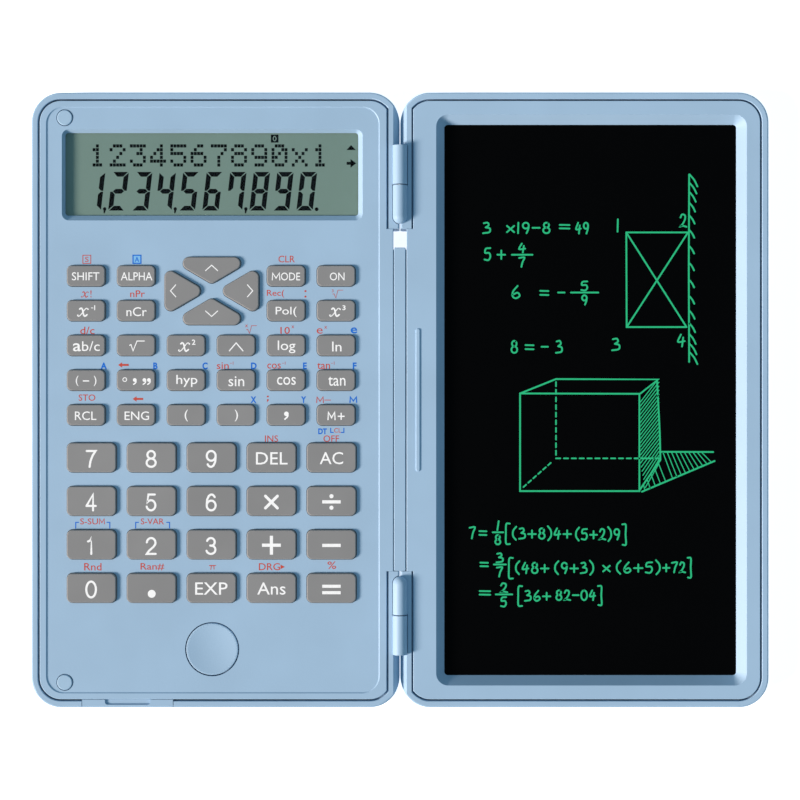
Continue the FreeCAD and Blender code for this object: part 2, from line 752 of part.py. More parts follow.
def cursor_corners(sideways, sign, margin, x="0", y="0"):
    """The three sharp corners of a cursor key about a centre, its sides moved out by a margin."""
    kind = "sideways" if sideways else "upright"
    base, tip, half = (f"{{cursor_{kind}_{name}}}" for name in ("base", "tip", "half"))
    slant = f"sqrt(({base} - {tip})^2 + {half}^2)"
    tip_out = f"({tip} - {margin} * {slant} / {half})"
    base_out = f"({base} + {margin})"
    half_out = f"({half} * ({base_out} - {tip_out}) / ({base} - {tip}))"
    corners = ((f"{sign} * {base_out}", half_out), (f"{sign} * {base_out}", f"-{half_out}"),
               (f"{sign} * {tip_out}", "0"))
    if not sideways:
        corners = [(b, a) for a, b in corners]
    return [(f"{x} + {spec(a)}", f"{y} + {spec(b)}") for a, b in corners]


# name, whether it points across the half, and the sign of its direction
CURSOR_KEYS = (("key_up", False, 1), ("key_down", False, -1),
               ("key_left", True, -1), ("key_right", True, 1))


def upright_edges_near(body, x, y, radius, below):
    """The sharp upright edges of a triangular cut or pad about one place."""
    names = []
    for i, edge in enumerate(body.Tip.Shape.Edges, start=1):
        box = edge.BoundBox
        upright = box.XLength < 1e-4 and box.YLength < 1e-4 and box.ZLength > 1e-3
        close = abs(box.Center.x - x) < radius and abs(box.Center.y - y) < radius
        if upright and close and box.ZMax <= below + 1e-4:
            names.append(f"Edge{i}")
    return names


def round_upright_edges(body, radius, x=0.0, y=0.0, reach=20.0, below=100.0):
    """Rounds the sharp upright edges about one place."""
    names = upright_edges_near(body, x, y, reach, below)
    base = body.Tip
    fillet = body.newObject("PartDesign::Fillet", f"{body.Name}_corners")
    fillet.Base = (base, names)
    fillet.setExpression("Radius", radius)
    body.Tip = fillet
    doc.recompute()
    if not fillet.isValid():
        raise RuntimeError(f"{body.Label}: the corners of {len(names)} edges failed")


def make_front_panel():
    body = face_plate("front_panel", CALCULATOR)
    # shallow field around the keys
    field = sketch_at(body, spec("{half_thickness}"), "field")
    left, right = across(CALCULATOR, spec("{field_near}"), spec("{field_far}"))
    add_rounded_rectangle(field, left, right, spec("-{field_end}"), spec("{field_end}"),
                          spec("{field_radius}"))
    pocket(body, field, spec("{field_depth}"), spec("-{field_slope}"))
    # a frame under the plate, around the display
    block(body, "Pad", "window_frame", spec("{ledge_height} - {window_frame_depth}"),
          spec("{window_frame_depth} + {merge}"), spec("-{opening_far} - {window_frame_margin}"),
          spec("-{opening_near} + {window_frame_margin}"),
          spec("{opening_lower} - {window_frame_margin}"),
          spec("{opening_upper} + {window_frame_margin}"))
    # display recess: bevelled sides down to the window
    outer = sketch_at(body, spec("{half_thickness} - {field_depth}"), "recess_mouth")
    left, right = across(CALCULATOR, spec("{recess_near}"), spec("{recess_far}"))
    add_rounded_rectangle(outer, left, right, spec("{recess_lower}"), spec("{recess_upper}"),
                          spec("{recess_radius}"))
    inner = sketch_at(body, spec("{recess_floor}"), "recess_floor")
    left, right = across(CALCULATOR, spec("{opening_near}"), spec("{opening_far}"))
    add_rounded_rectangle(inner, left, right, spec("{opening_lower}"), spec("{opening_upper}"),
                          spec("{opening_radius}"))
    before = volume_of(body)
    recess = body.newObject("PartDesign::SubtractiveLoft", "recess")
    recess.Profile = outer
    recess.Sections = [inner]
    recess.Ruled = True
    body.Tip = recess
    settle(body, before, False)
    # seat for the window, open from below
    block(body, "Pocket", "window_seat", spec("{recess_floor}"), spec("1"),
          spec("-{opening_far} - {window_margin} - {seat_clearance}"),
          spec("-{opening_near} + {window_margin} + {seat_clearance}"),
          spec("{opening_lower} - {window_margin} - {seat_clearance}"),
          spec("{opening_upper} + {window_margin} + {seat_clearance}"))
    # key openings
    top, through = spec("{half_thickness}"), spec("{half_thickness} - {ledge_height} + 0.5")
    for line in range(len(SMALL_KEYS) + len(SMALL_KEY_ROWS)):
        sketch = sketch_at(body, top, f"small_openings_{line}")
        for column in range(KEY_COLUMNS):
            if line >= len(SMALL_KEYS) or SMALL_KEYS[line][column]:
                add_key_outline(sketch, *small_key_centre(column, line), "small", "{key_clearance}")
        pocket(body, sketch, through)
    for line, names in enumerate(LARGE_KEYS):
        sketch = sketch_at(body, top, f"large_openings_{line}")
        for column in range(len(names)):
            add_key_outline(sketch, *large_key_centre(column, line), "large", "{key_clearance}")
        pocket(body, sketch, through)
    cursors = sketch_at(body, top, "cursor_openings")
    x, y = spec("-{cursor_centre_reach}"), spec("{cursor_centre_length}")
    for name, sideways, sign in CURSOR_KEYS:
        add_triangle(cursors, cursor_corners(sideways, sign, "{key_clearance}", x, y))
    pocket(body, cursors, through)
    round_upright_edges(body, spec("{cursor_radius} + {key_clearance}"), number(x), number(y),
                        14.0)
    # erase button opening, seats for the corner plugs
    disc(body, "Pocket", "button_opening", top, through,
         [(spec("-{button_reach}"), spec("{button_length}"))],
         spec("{button_radius} + {button_clearance}"))
    disc(body, "Pocket", "plug_seats", top, spec("{half_thickness} - {plug_bottom}"),
         [(spec("-{plug_reach}"), spec(f"{sign} * {{plug_length}}")) for sign in (1, -1)],
         spec("{plug_radius} + {plug_clearance}"))


def make_lid_bezel():
    body = face_plate("lid_bezel", LID)
    # a frame under the plate, which the writing film lies against
    block(body, "Pad", "frame", spec("{half_thickness} - {screen_depth}"),
          spec("{ledge_height} + {merge} - {half_thickness} + {screen_depth}"),
          spec("{screen_near} - {frame_margin}"), spec("{screen_far} + {frame_margin}"),
          spec("-{screen_end} - {frame_margin}"), spec("{screen_end} + {frame_margin}"))
    # the writing area: a through opening with sloping sides
    opening = sketch_at(body, spec("{half_thickness}"), "writing_opening")
    near, far = spec("{screen_near} - {screen_bevel}"), spec("{screen_far} + {screen_bevel}")
    end = spec("{screen_end} + {screen_bevel}")
    add_rounded_rectangle(opening, near, far, f"-({end})", end, spec("{bevel_radius}"))
    pocket(body, opening, spec("{screen_depth}"), spec("-atan({screen_bevel} / {screen_depth})"))
    # raised rib beside the hinge side
    rib = sketch_at(body, spec("{half_thickness} - 0.2"), "rib")
    add_rounded_rectangle(rib, spec("{rib_near}"), spec("{rib_far}"), spec("-{rib_half_length}"),
                          spec("{rib_half_length}"), spec("({rib_far} - {rib_near}) / 2.05"))
    pad(body, rib, spec("{rib_height} + 0.2"))
    round_over(body, spec("{rib_height} * 0.9"),
               faces_up_at(DIMENSIONS["half_thickness"] + DIMENSIONS["rib_height"]))


# ---------------------------------------------------------------- keys and button

def keycap(label, size, places):
    """A keycap, or a row of them, with a flange that the face plate holds down."""
    body = new_body(label)
    x0, y0 = places[0]
    body.setExpression(".Placement.Base.x", x0)
    body.setExpression(".Placement.Base.y", y0)
    offsets = [(f"({x}) - ({x0})", f"({y}) - ({y0})") for x, y in places]
    cap = sketch_at(body, spec("{flange_bottom}"), f"{label}_cap")
    flange = sketch_at(body, spec("{flange_bottom}"), f"{label}_flange")
    for x, y in offsets:
        add_key_outline(cap, x, y, size, "0")
        add_key_outline(flange, x, y, size, "{flange_margin}")
    pad(body, cap, spec("{key_top} - {flange_bottom}"))
    round_over(body, spec("{key_edge}"), faces_up_at(DIMENSIONS["key_top"]))
    pad(body, flange, spec("{flange_thickness}"))


def cursor_key(label, sideways, sign):
    """A triangular keycap that points away from the middle of the cursor group."""
    body = new_body(label)
    body.setExpression(".Placement.Base.x", spec("-{cursor_centre_reach}"))
    body.setExpression(".Placement.Base.y", spec("{cursor_centre_length}"))
    cap = sketch_at(body, spec("{flange_bottom}"), f"{label}_cap")
    add_triangle(cap, cursor_corners(sideways, sign, "0"))
    pad(body, cap, spec("{key_top} - {flange_bottom}"))
    round_upright_edges(body, spec("{cursor_radius}"))
    round_over(body, spec("{key_edge}"), faces_up_at(DIMENSIONS["key_top"]))
    flange = sketch_at(body, spec("{flange_bottom}"), f"{label}_flange")
    add_triangle(flange, cursor_corners(sideways, sign, "{flange_margin}"))
    pad(body, flange, spec("{flange_thickness}"))
    round_upright_edges(body, spec("{cursor_radius} + {flange_margin}"),
                        below=DIMENSIONS["flange_bottom"] + DIMENSIONS["flange_thickness"])


def make_keys():
    for line, names in enumerate(SMALL_KEYS):
        for column, name in enumerate(names):
            if name:
                keycap(name, "small", [small_key_centre(column, line)])
    for line, name in enumerate(SMALL_KEY_ROWS, start=len(SMALL_KEYS)):
        keycap(name, "small", [small_key_centre(column, line) for column in range(KEY_COLUMNS)])
    for line, names in enumerate(LARGE_KEYS):
        for column, name in enumerate(names):
            keycap(name, "large", [large_key_centre(column, line)])
    for name, sideways, sign in CURSOR_KEYS:
        cursor_key(name, sideways, sign)


def make_erase_button():
    """A round button with a dished top and a flange under the face plate."""
    body = new_body("erase_button")
    body.setExpression(".Placement.Base.x", spec("-{button_reach}"))
    body.setExpression(".Placement.Base.y", spec("{button_length}"))
    disc(body, "Pad", "button_cap", spec("{flange_bottom}"), spec("{button_top} - {flange_bottom}"),
         [("0", "0")], spec("{button_radius}"))
    round_over(body, spec("{edge_break}"), faces_up_at(DIMENSIONS["button_top"]))
    # a large sphere leaves a dish of the stated depth that stops just inside the edge
    before = volume_of(body)
    feature = body.newObject("PartDesign::SubtractiveSphere", "button_dish")
    feature.setExpression("Radius", spec("(({button_radius} - 0.5)^2 + {button_dish}^2)"
                                         " / (2 * {button_dish})"))
    feature.setExpression(".Placement.Base.z", spec(
        "{button_top} - {button_dish} + (({button_radius} - 0.5)^2 + {button_dish}^2)"
        " / (2 * {button_dish})"))
    body.Tip = feature
    settle(body, before, False)
    disc(body, "Pad", "button_flange", spec("{flange_bottom}"), spec("{flange_thickness}"),
         [("0", "0")], spec("{button_radius} + {button_flange}"))


def make_corner_plugs():
    body = new_body("corner_plugs")
    disc(body, "Pad", "plug_discs", spec("{plug_bottom}"), spec("{plug_top} - {plug_bottom}"),
         [(spec("-{plug_reach}"), spec(f"{sign} * {{plug_length}}")) for sign in (1, -1)],
         spec("{plug_radius}"))
    round_over(body, spec("{plug_edge}"), faces_up_at(DIMENSIONS["plug_top"]))


# ---------------------------------------------------------------- display

def make_display():
    window = new_body("display_window")
    block(window, "Pad", "window_sheet", spec("{recess_floor} - {window_thickness}"),
          spec("{window_thickness}"), spec("-{opening_far} - {window_margin}"),
          spec("-{opening_near} + {window_margin}"), spec("{opening_lower} - {window_margin}"),
          spec("{opening_upper} + {window_margin}"))
    display = new_body("display_panel")
    display_bottom = "{recess_floor} - {window_thickness} - {window_gap} - {display_thickness}"
    block(display, "Pad", "display_glass", spec(display_bottom), spec("{display_thickness}"),
          spec("-{opening_far} - {display_margin}"), spec("-{opening_near} + {display_margin}"),
          spec("{opening_lower} - {display_margin}"), spec("{opening_upper} + {display_margin}"))
    connector = new_body("display_connector")
    block(connector, "Pad", "connector_strip", spec("{board_bottom} + {board_thickness}"),
          spec(f"{display_bottom} - {{board_bottom}} - {{board_thickness}}"),
          spec("-{opening_far} + {connector_inset}"), spec("-{opening_near} - {connector_inset}"),
          spec("{opening_lower}"), spec("{opening_lower} + {connector_width}"))


# ---------------------------------------------------------------- board and membrane

def make_circuit_board():
    body = new_body("circuit_board")
    block(body, "Pad", "board_sheet", spec("{board_bottom}"), spec("{board_thickness}"),
          spec("-{board_far}"), spec("-{board_near}"), spec("{board_lower}"), spec("{board_upper}"))
    block(body, "Pocket", "battery_bay", spec("{board_bottom} + {board_thickness}"),
          spec("{board_thickness} + 0.5"), spec("-{board_far} - 1"), spec("-{board_notch_near}"),
          spec("{board_lower} - 1"), spec("{board_notch_upper}"))
    # driver chip under the display
    block(body, "Pad", "driver_chip", spec("{board_bottom} + {board_thickness} - {merge}"),
          spec("{chip_height} + {merge}"), spec("-{chip_far}"), spec("-{chip_near}"),
          spec("{chip_lower}"), spec("{chip_upper}"))


def key_places():
    """The centre of every key and of the erase button."""
    places = []
    for line in range(len(SMALL_KEYS) + len(SMALL_KEY_ROWS)):
        for column in range(KEY_COLUMNS):
            if line >= len(SMALL_KEYS) or SMALL_KEYS[line][column]:
                places.append(small_key_centre(column, line))
    for line, names in enumerate(LARGE_KEYS):
        places += [large_key_centre(column, line) for column in range(len(names))]
    for name, sideways, sign in CURSOR_KEYS:
        kind = "sideways" if sideways else "upright"
        away = spec(f"{sign} * ({{cursor_{kind}_base}} + {{cursor_{kind}_tip}}) / 2")
        x, y = spec("-{cursor_centre_reach}"), spec("{cursor_centre_length}")
        places.append((f"{x} + {away}", y) if sideways else (x, f"{y} + {away}"))
    places.append((spec("-{button_reach}"), spec("{button_length}")))
    return places


def make_key_membrane():
    """A silicone sheet on the board with a low dome under each key."""
    body = new_body("key_membrane")
    sheet_bottom = spec("{board_bottom} + {board_thickness}")
    block(body, "Pad", "membrane_sheet", sheet_bottom, spec("{membrane_thickness}"),
          spec("-{board_far} + {membrane_margin}"), spec("-{board_near} - {membrane_margin}"),
          spec("{board_notch_upper} + {membrane_margin}"),
          spec("{opening_lower} - {window_margin} - {membrane_margin} * 4"))
    block(body, "Pad", "membrane_tongue", sheet_bottom, spec("{membrane_thickness}"),
          spec("-{board_notch_near} + {membrane_margin}"),
          spec("-2 * {button_reach} + {board_notch_near} - {membrane_margin}"),
          spec("{board_lower} + 0.4"), spec("{board_notch_upper} + 2 * {membrane_margin}"))
    disc(body, "Pad", "domes", f"{sheet_bottom} + " + spec("{membrane_thickness} - {merge}"),
         spec("{dome_height} + {merge}"), key_places(), spec("{dome_radius}"))


# ---------------------------------------------------------------- battery

def make_battery_tray():
    """A drawer for the coin cell whose front is a piece of the rim, with a fingernail notch."""
    body = new_body("battery_tray")
    front = spec("-{half_length} / 2")
    block(body, "Pad", "tray_front", spec("{tray_bottom}"),
          spec("{half_thickness} - {tray_bottom}"), spec("-{tray_far}"), spec("-{tray_near}"),
          front, f"{front} + " + spec("{rim_width} + {seam} - {tray_seam}"))
    shape = body.Tip.Shape
    names = [f"Edge{i}" for i, edge in enumerate(shape.Edges, start=1)
             if edge.BoundBox.YLength < 1e-4 and edge.BoundBox.ZLength < 1e-4
             and abs(edge.BoundBox.YMin - number(front)) < 1e-4
             and abs(edge.BoundBox.ZMin - DIMENSIONS["half_thickness"]) < 1e-4]
    base = body.Tip
    rounding = body.newObject("PartDesign::Fillet", "tray_front_rounding")
    rounding.Base = (base, names)
    rounding.setExpression("Radius", spec("{top_rounding}"))
    body.Tip = rounding
    doc.recompute()
    centre = spec("-({tray_far} + {tray_near}) / 2")
    notch = sketch_at(body, spec("{half_thickness}"), "nail_notch")
    add_rounded_rectangle(notch, f"{centre} - " + spec("{nail_notch_half}"),
                          f"{centre} + " + spec("{nail_notch_half}"),
                          f"{front} + " + spec("{rim_width} - {nail_notch_depth}"),
                          f"{front} + " + spec("{rim_width} + 2 * {nail_notch_radius}"),
                          spec("{nail_notch_radius}"))
    pocket(body, notch, spec("{nail_notch_height}"))
    block(body, "Pad", "tray_plate", spec("{tray_bottom}"), spec("{tray_top} - {tray_bottom}"),
          spec("-{tray_far} + {tray_plate_inset}"), spec("-{tray_near} - {tray_plate_inset}"),
          f"{front} + " + spec("{rim_width} - 0.5"), spec("{tray_inner_end}"))
    disc(body, "Pocket", "cell_seat", spec("{tray_top}"), spec("{tray_top} - {cell_bottom}"),
         [cell_centre()], spec("{cell_radius} + {cell_clearance}"))
    disc(body, "Pocket", "contact_hole", spec("{cell_bottom}"), spec("1"), [cell_centre()],
         spec("{contact_hole}"))
    # slot that lets the lower contact reach the cell while the tray slides
    block(body, "Pocket", "contact_slot", spec("{cell_bottom} + {contact_clearance}"), spec("1"),
          spec("-{contact_reach} - {contact_width} / 2 - {contact_clearance}"),
          spec("-{contact_reach} + {contact_width} / 2 + {contact_clearance}"),
          cell_centre()[1], spec("{tray_inner_end} + 1"))


def cell_centre():
    """The coin cell's centre, in the middle of its tray."""
    return (spec("-({tray_far} + {tray_near}) / 2"),
            spec("{tray_inner_end} - {cell_radius} - {cell_clearance} - 0.7"))


def make_coin_cell():
    """A coin cell: the can, with its smaller face underneath."""
    body = new_body("coin_cell")
    x, y = cell_centre()
    body.setExpression(".Placement.Base.x", x)
    body.setExpression(".Placement.Base.y", y)
    disc(body, "Pad", "cell_can", spec("{cell_bottom} + 0.3"), spec("{cell_height} - 0.3"),
         [("0", "0")], spec("{cell_radius}"))
    disc(body, "Pad", "cell_face", spec("{cell_bottom}"), spec("0.35"), [("0", "0")],
         spec("{cell_radius} - 1.2"))


def make_battery_contacts():
    """Two strips from the board's edge: one runs over the cell and one under it."""
    body = new_body("battery_contacts")
    over = "{cell_bottom} + {cell_height} + {contact_gap}"
    back = "{board_notch_upper} + 1.2"
    left, right = spec("-{contact_reach} - {contact_width} / 2"), spec(
        "-{contact_reach} + {contact_width} / 2")
    _, y = cell_centre()
    block(body, "Pad", "upper_leaf", spec(over), spec("{contact_thickness}"), left, right,
          f"{y} - " + spec("{contact_width}"), spec(back))
    block(body, "Pad", "upper_leg", spec("{board_bottom} + {board_thickness}"),
          spec(f"{over} - {{board_bottom}} - {{board_thickness}} + {{merge}}"), left, right,
          spec(f"{back} - {{contact_thickness}}"), spec(back))
    under = "{cell_bottom} - {contact_thickness} - {contact_gap}"
    block(body, "Pad", "lower_leaf", spec(under), spec("{contact_thickness}"), left, right,
          f"{y} - " + spec("{contact_width} / 2"), spec(back))
    block(body, "Pad", "lower_leg", spec(under), spec(f"{{board_bottom}} - ({under})"), left, right,
          spec(f"{back} - {{contact_thickness}}"), spec(back))


# ---------------------------------------------------------------- writing tablet

def make_writing_tablet():
    far, near = spec("{screen_far} + {film_margin}"), spec("{screen_near} - {film_margin}")
    end = spec("{screen_end} + {film_margin}")
    film_bottom = spec("({half_thickness} - {screen_depth} - {film_thickness})")
    film = new_body("writing_screen")
    block(film, "Pad", "film_sheet", film_bottom, spec("{film_thickness}"), near, far,
          f"-({end})", end)
    backplate = new_body("screen_backplate")
    block(backplate, "Pad", "backplate_sheet", f"{film_bottom} - " + spec("{backplate_thickness}"),
          spec("{backplate_thickness}"), near, far, f"-({end})", end)


# ---------------------------------------------------------------- screws, pins, stylus

def make_screws(label, side):
    """Four pan-head screws that hold a face plate to its shell from below."""
    body = new_body(label)
    disc(body, "Pad", f"{label}_heads", spec("{screw_head_bottom}"),
         spec("{screw_head_top} - {screw_head_bottom}"), screw_places(side),
         spec("{screw_head_radius}"))
    disc(body, "Pad", f"{label}_shanks", spec("{screw_head_top} - 0.1"),
         spec("{screw_end} - {screw_head_top}"), screw_places(side), spec("{screw_radius}"))
    slots = sketch_at(body, spec("{screw_head_bottom} + {screw_slot}"), f"{label}_slots")
    for x, y in screw_places(side):
        half_length = spec("{screw_head_radius} * 0.7")
        half_width = spec("{screw_slot_half_width}")
        add_rectangle(slots, f"{x} - {half_length}", f"{x} + {half_length}",
                      f"{y} - {half_width}", f"{y} + {half_width}")
    pocket(body, slots, spec("{screw_slot} + 0.5"))
    cross = sketch_at(body, spec("{screw_head_bottom} + {screw_slot}"), f"{label}_cross_slots")
    for x, y in screw_places(side):
        half_length = spec("{screw_head_radius} * 0.7")
        half_width = spec("{screw_slot_half_width}")
        add_rectangle(cross, f"{x} - {half_width}", f"{x} + {half_width}",
                      f"{y} - {half_length}", f"{y} + {half_length}")
    pocket(body, cross, spec("{screw_slot} + 0.5"))


def make_hinge_pins():
    """One pin through the two barrels of each hinge."""
    body = new_body("hinge_pins")
    for name in HINGES:
        inner, _, _, outer = hinge_places(name)
        direction = 1 if name == "upper" else -1
        cover = f"{direction} * " + spec("({pin_cover} + 0.2)")
        round_part(body, "Additive", f"{name}_pin", spec("{pin_radius}"),
                   f"({inner} + {cover})", f"({outer} - {cover})")


def make_stylus():
    """A flat-topped pen that tapers underneath to a rounded nib at its lower end."""
    body = new_body("stylus")
    barrel = sketch_at(body, spec("{stylus_bottom}"), "stylus_outline")
    add_rounded_rectangle(barrel, spec("{stylus_left}"), spec("{stylus_right}"),
                          spec("{stylus_lower_end}"), spec("{stylus_upper_end}"),
                          spec("{stylus_rounding}"))
    pad(body, barrel, spec("{half_thickness} - {stylus_bottom}"))
    round_over(body, spec("{edge_break}"), faces_up_at(DIMENSIONS["half_thickness"]))
    wedge = body.newObject("Sketcher::SketchObject", "nib_wedge")
    plane = next(f for f in body.Origin.OriginFeatures if f.Role == "YZ_Plane")
    wedge.AttachmentSupport = [(plane, "")]
    wedge.MapMode = "FlatFace"
    add_triangle(wedge, (
        (spec("{stylus_lower_end} - 0.5"), spec("{stylus_bottom} - 0.5")),
        (spec("{stylus_lower_end} + {stylus_nib_length}"), spec("{stylus_bottom} - 0.5")),
        (spec("{stylus_lower_end} - 0.5"), spec("{half_thickness} - {stylus_nib_height}"))))
    before = volume_of(body)
    cut = body.newObject("PartDesign::Pocket", "nib_taper")
    cut.Profile = wedge
    cut.Midplane = True
    cut.setExpression("Length", spec("4 * {stylus_right}"))
    body.Tip = cut
    settle(body, before, False)


# ---------------------------------------------------------------- build and export

make_base_shell()
make_front_panel()
make_display()
make_circuit_board()
make_key_membrane()
make_battery_tray()
make_coin_cell()
make_battery_contacts()
make_erase_button()
make_corner_plugs()
make_screws("case_screws", CALCULATOR)
make_hinge_pins()
make_lid_shell()
make_lid_bezel()
make_writing_tablet()
make_screws("lid_screws", LID)
make_stylus()
make_keys()
doc.recompute()

for item in doc.Objects:
    if "Invalid" in item.State or "Error" in item.State:
        raise RuntimeError(f"{item.Label} did not build: {item.State}")
for node in nodes:
    if node.Shape.isNull() or not node.Shape.isValid():
        raise RuntimeError(f"{node.Label} has no valid shape")

os.makedirs("parts", exist_ok=True)
for node in nodes:
    node.Shape.exportStep(f"parts/{node.Label}.step")
print(len(nodes), "nodes written")
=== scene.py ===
import math

import bpy
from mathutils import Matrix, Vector


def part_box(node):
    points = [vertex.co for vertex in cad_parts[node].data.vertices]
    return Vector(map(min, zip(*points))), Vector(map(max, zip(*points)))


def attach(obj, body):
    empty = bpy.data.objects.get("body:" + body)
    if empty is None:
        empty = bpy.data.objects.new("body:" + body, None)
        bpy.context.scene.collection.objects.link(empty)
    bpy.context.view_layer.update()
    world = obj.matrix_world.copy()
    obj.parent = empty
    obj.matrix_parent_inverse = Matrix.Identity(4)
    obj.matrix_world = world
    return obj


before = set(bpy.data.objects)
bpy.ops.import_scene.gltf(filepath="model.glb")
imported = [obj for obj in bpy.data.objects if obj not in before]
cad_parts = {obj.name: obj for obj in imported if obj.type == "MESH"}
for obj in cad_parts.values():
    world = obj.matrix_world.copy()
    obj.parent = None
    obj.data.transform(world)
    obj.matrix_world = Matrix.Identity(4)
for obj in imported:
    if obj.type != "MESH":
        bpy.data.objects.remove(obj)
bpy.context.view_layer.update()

MM = 0.001                      # lengths below are written in millimetres
INK_LIFT = 0.012                # how far printed ink stands off its surface
LAYER = 0.0008                  # step between neighbouring strokes, so that none lie in one plane
LAYERS = 12                     # steps before the first height is used again
FIELD_TOP = 6.75                # height of the face around the keys
SMALL_KEY_WIDTH = 10.2
KEY_FLANGE = 0.5                # hidden flange at each side of a key
FLOOR_REACH = 40.0              # metres from the middle of the floor to its edges
FLOOR_DROP = 0.0002             # metres from the underside of the object to the floor
CAMERA_HEIGHT = 0.407           # metres


# ------------------------------------------------------------------ materials

def new_material(name, color, roughness=0.5, specular=0.5, metallic=0.0):
    """A principled material with its uniform values set on the sockets."""
    material = bpy.data.materials.new(name)
    material.use_nodes = True
    shader = material.node_tree.nodes["Principled BSDF"]
    shader.inputs["Base Color"].default_value = (*color, 1)
    shader.inputs["Roughness"].default_value = roughness
    shader.inputs["Specular IOR Level"].default_value = specular
    shader.inputs["Metallic"].default_value = metallic
    return material


def add_noise(material, scale, detail=3.0, stretch=(1, 1, 1)):
    """A noise texture that follows the object's own metres."""
    tree = material.node_tree
    place = tree.nodes.new("ShaderNodeTexCoord")
    mapping = tree.nodes.new("ShaderNodeMapping")
    mapping.inputs["Scale"].default_value = stretch
    noise = tree.nodes.new("ShaderNodeTexNoise")
    noise.inputs["Scale"].default_value = scale
    noise.inputs["Detail"].default_value = detail
    tree.links.new(place.outputs["Object"], mapping.inputs["Vector"])
    tree.links.new(mapping.outputs["Vector"], noise.inputs["Vector"])
    return noise.outputs["Fac"]


def add_ramp(material, factor, low, high, start=0.3, stop=0.7):
    """Turns a factor into a blend of two colours."""
    ramp = material.node_tree.nodes.new("ShaderNodeValToRGB")
    ramp.color_ramp.elements[0].position = start
    ramp.color_ramp.elements[1].position = stop
    ramp.color_ramp.elements[0].color = (*low, 1)
    ramp.color_ramp.elements[1].color = (*high, 1)
    material.node_tree.links.new(factor, ramp.inputs["Fac"])
    return ramp.outputs["Color"]


def tint(color, share):
    """A colour made darker or lighter by a share."""
    return tuple(channel * share for channel in color)


def grained(name, color, roughness, specular, grain, height, variation=0.03):
    """Moulded plastic or rubber: a slight colour variation, a fine bump and uneven gloss."""
    material = new_material(name, color, roughness, specular)
    tree = material.node_tree
    shader = tree.nodes["Principled BSDF"]
    fine = add_noise(material, grain)
    broad = add_noise(material, 60.0, 2.0)
    shade = add_ramp(material, broad, tint(color, 1 - variation), tint(color, 1 + variation))
    tree.links.new(shade, shader.inputs["Base Color"])
    gloss = add_ramp(material, fine, (roughness - 0.04,) * 3, (roughness + 0.04,) * 3)
    tree.links.new(gloss, shader.inputs["Roughness"])
    bump = tree.nodes.new("ShaderNodeBump")
    bump.inputs["Strength"].default_value = 1.0
    bump.inputs["Distance"].default_value = height * MM
    tree.links.new(fine, bump.inputs["Height"])
    tree.links.new(bump.outputs["Normal"], shader.inputs["Normal"])
    return material


def brushed(name, color, roughness):
    """Metal with fine lines along one way."""
    material = new_material(name, color, roughness, 0.5, 1.0)
    tree = material.node_tree
    shader = tree.nodes["Principled BSDF"]
    lines = add_noise(material, 900.0, 2.0, (1, 30, 1))
    gloss = add_ramp(material, lines, (roughness - 0.08,) * 3, (roughness + 0.1,) * 3)
    tree.links.new(gloss, shader.inputs["Roughness"])
    shade = add_ramp(material, lines, tint(color, 0.93), tint(color, 1.05))
    tree.links.new(shade, shader.inputs["Base Color"])
    return material


def clear_window():
    """A thin clear sheet: it lets light straight through and adds a faint reflection."""
    material = new_material("window_clear", (1, 1, 1), 0.05)
    tree = material.node_tree
    output = tree.nodes["Material Output"]
    clear = tree.nodes.new("ShaderNodeBsdfTransparent")
    clear.inputs["Color"].default_value = (0.97, 0.985, 0.98, 1)
    shine = tree.nodes.new("ShaderNodeBsdfGlossy")
    shine.inputs["Roughness"].default_value = 0.08
    shine.inputs["Color"].default_value = (1, 1, 1, 1)
    mix = tree.nodes.new("ShaderNodeMixShader")
    smudge = add_noise(material, 40.0, 2.0)
    amount = add_ramp(material, smudge, (0.006,) * 3, (0.012,) * 3)
    tree.links.new(amount, mix.inputs["Fac"])
    tree.links.new(clear.outputs["BSDF"], mix.inputs[1])
    tree.links.new(shine.outputs["BSDF"], mix.inputs[2])
    tree.links.new(mix.outputs["Shader"], output.inputs["Surface"])
    tree.nodes.remove(tree.nodes["Principled BSDF"])
    return material


def pale_floor():
    """A plain white sheet that is softly lit from behind, so that shadows on it stay pale."""
    material = grained("floor_white", (0.9, 0.9, 0.9), 0.85, 0.1, 400.0, 0.01, 0.004)
    shader = material.node_tree.nodes["Principled BSDF"]
    shader.inputs["Emission Color"].default_value = (1, 1, 1, 1)
    shader.inputs["Emission Strength"].default_value = 0.8
    return material


def ink(name, color, roughness=0.55, specular=0.3):
    """Printed ink with slightly uneven coverage."""
    material = new_material(name, color, roughness, specular)
    speckle = add_noise(material, 1500.0, 2.0)
    shade = add_ramp(material, speckle, tint(color, 0.92), color, 0.3, 0.55)
    shader = material.node_tree.nodes["Principled BSDF"]
    material.node_tree.links.new(shade, shader.inputs["Base Color"])
    return material


CASE = grained("case_blue", (0.345, 0.505, 0.675), 0.52, 0.35, 2600.0, 0.012)
PAD = grained("pad_blue", (0.36, 0.525, 0.69), 0.6, 0.3, 2200.0, 0.01)
KEYCAP = grained("keycap_grey", (0.248, 0.248, 0.25), 0.6, 0.3, 3600.0, 0.014, 0.05)
WINDOW = clear_window()
DISPLAY = grained("display_grey_green", (0.185, 0.265, 0.235), 0.45, 0.3, 1800.0, 0.002)
RUBBER = grained("elastomer_dark", (0.08, 0.08, 0.09), 0.7, 0.2, 1500.0, 0.01)
BOARD = grained("board_green", (0.03, 0.17, 0.08), 0.4, 0.5, 700.0, 0.01, 0.12)
SILICONE = grained("silicone_grey", (0.55, 0.56, 0.58), 0.65, 0.3, 1500.0, 0.01)
CELL = brushed("cell_steel", (0.6, 0.6, 0.61), 0.3)
CONTACT = brushed("contact_steel", (0.62, 0.6, 0.55), 0.35)
SCREW = brushed("screw_steel", (0.35, 0.35, 0.37), 0.32)
PIN = brushed("pin_steel", (0.55, 0.55, 0.57), 0.25)
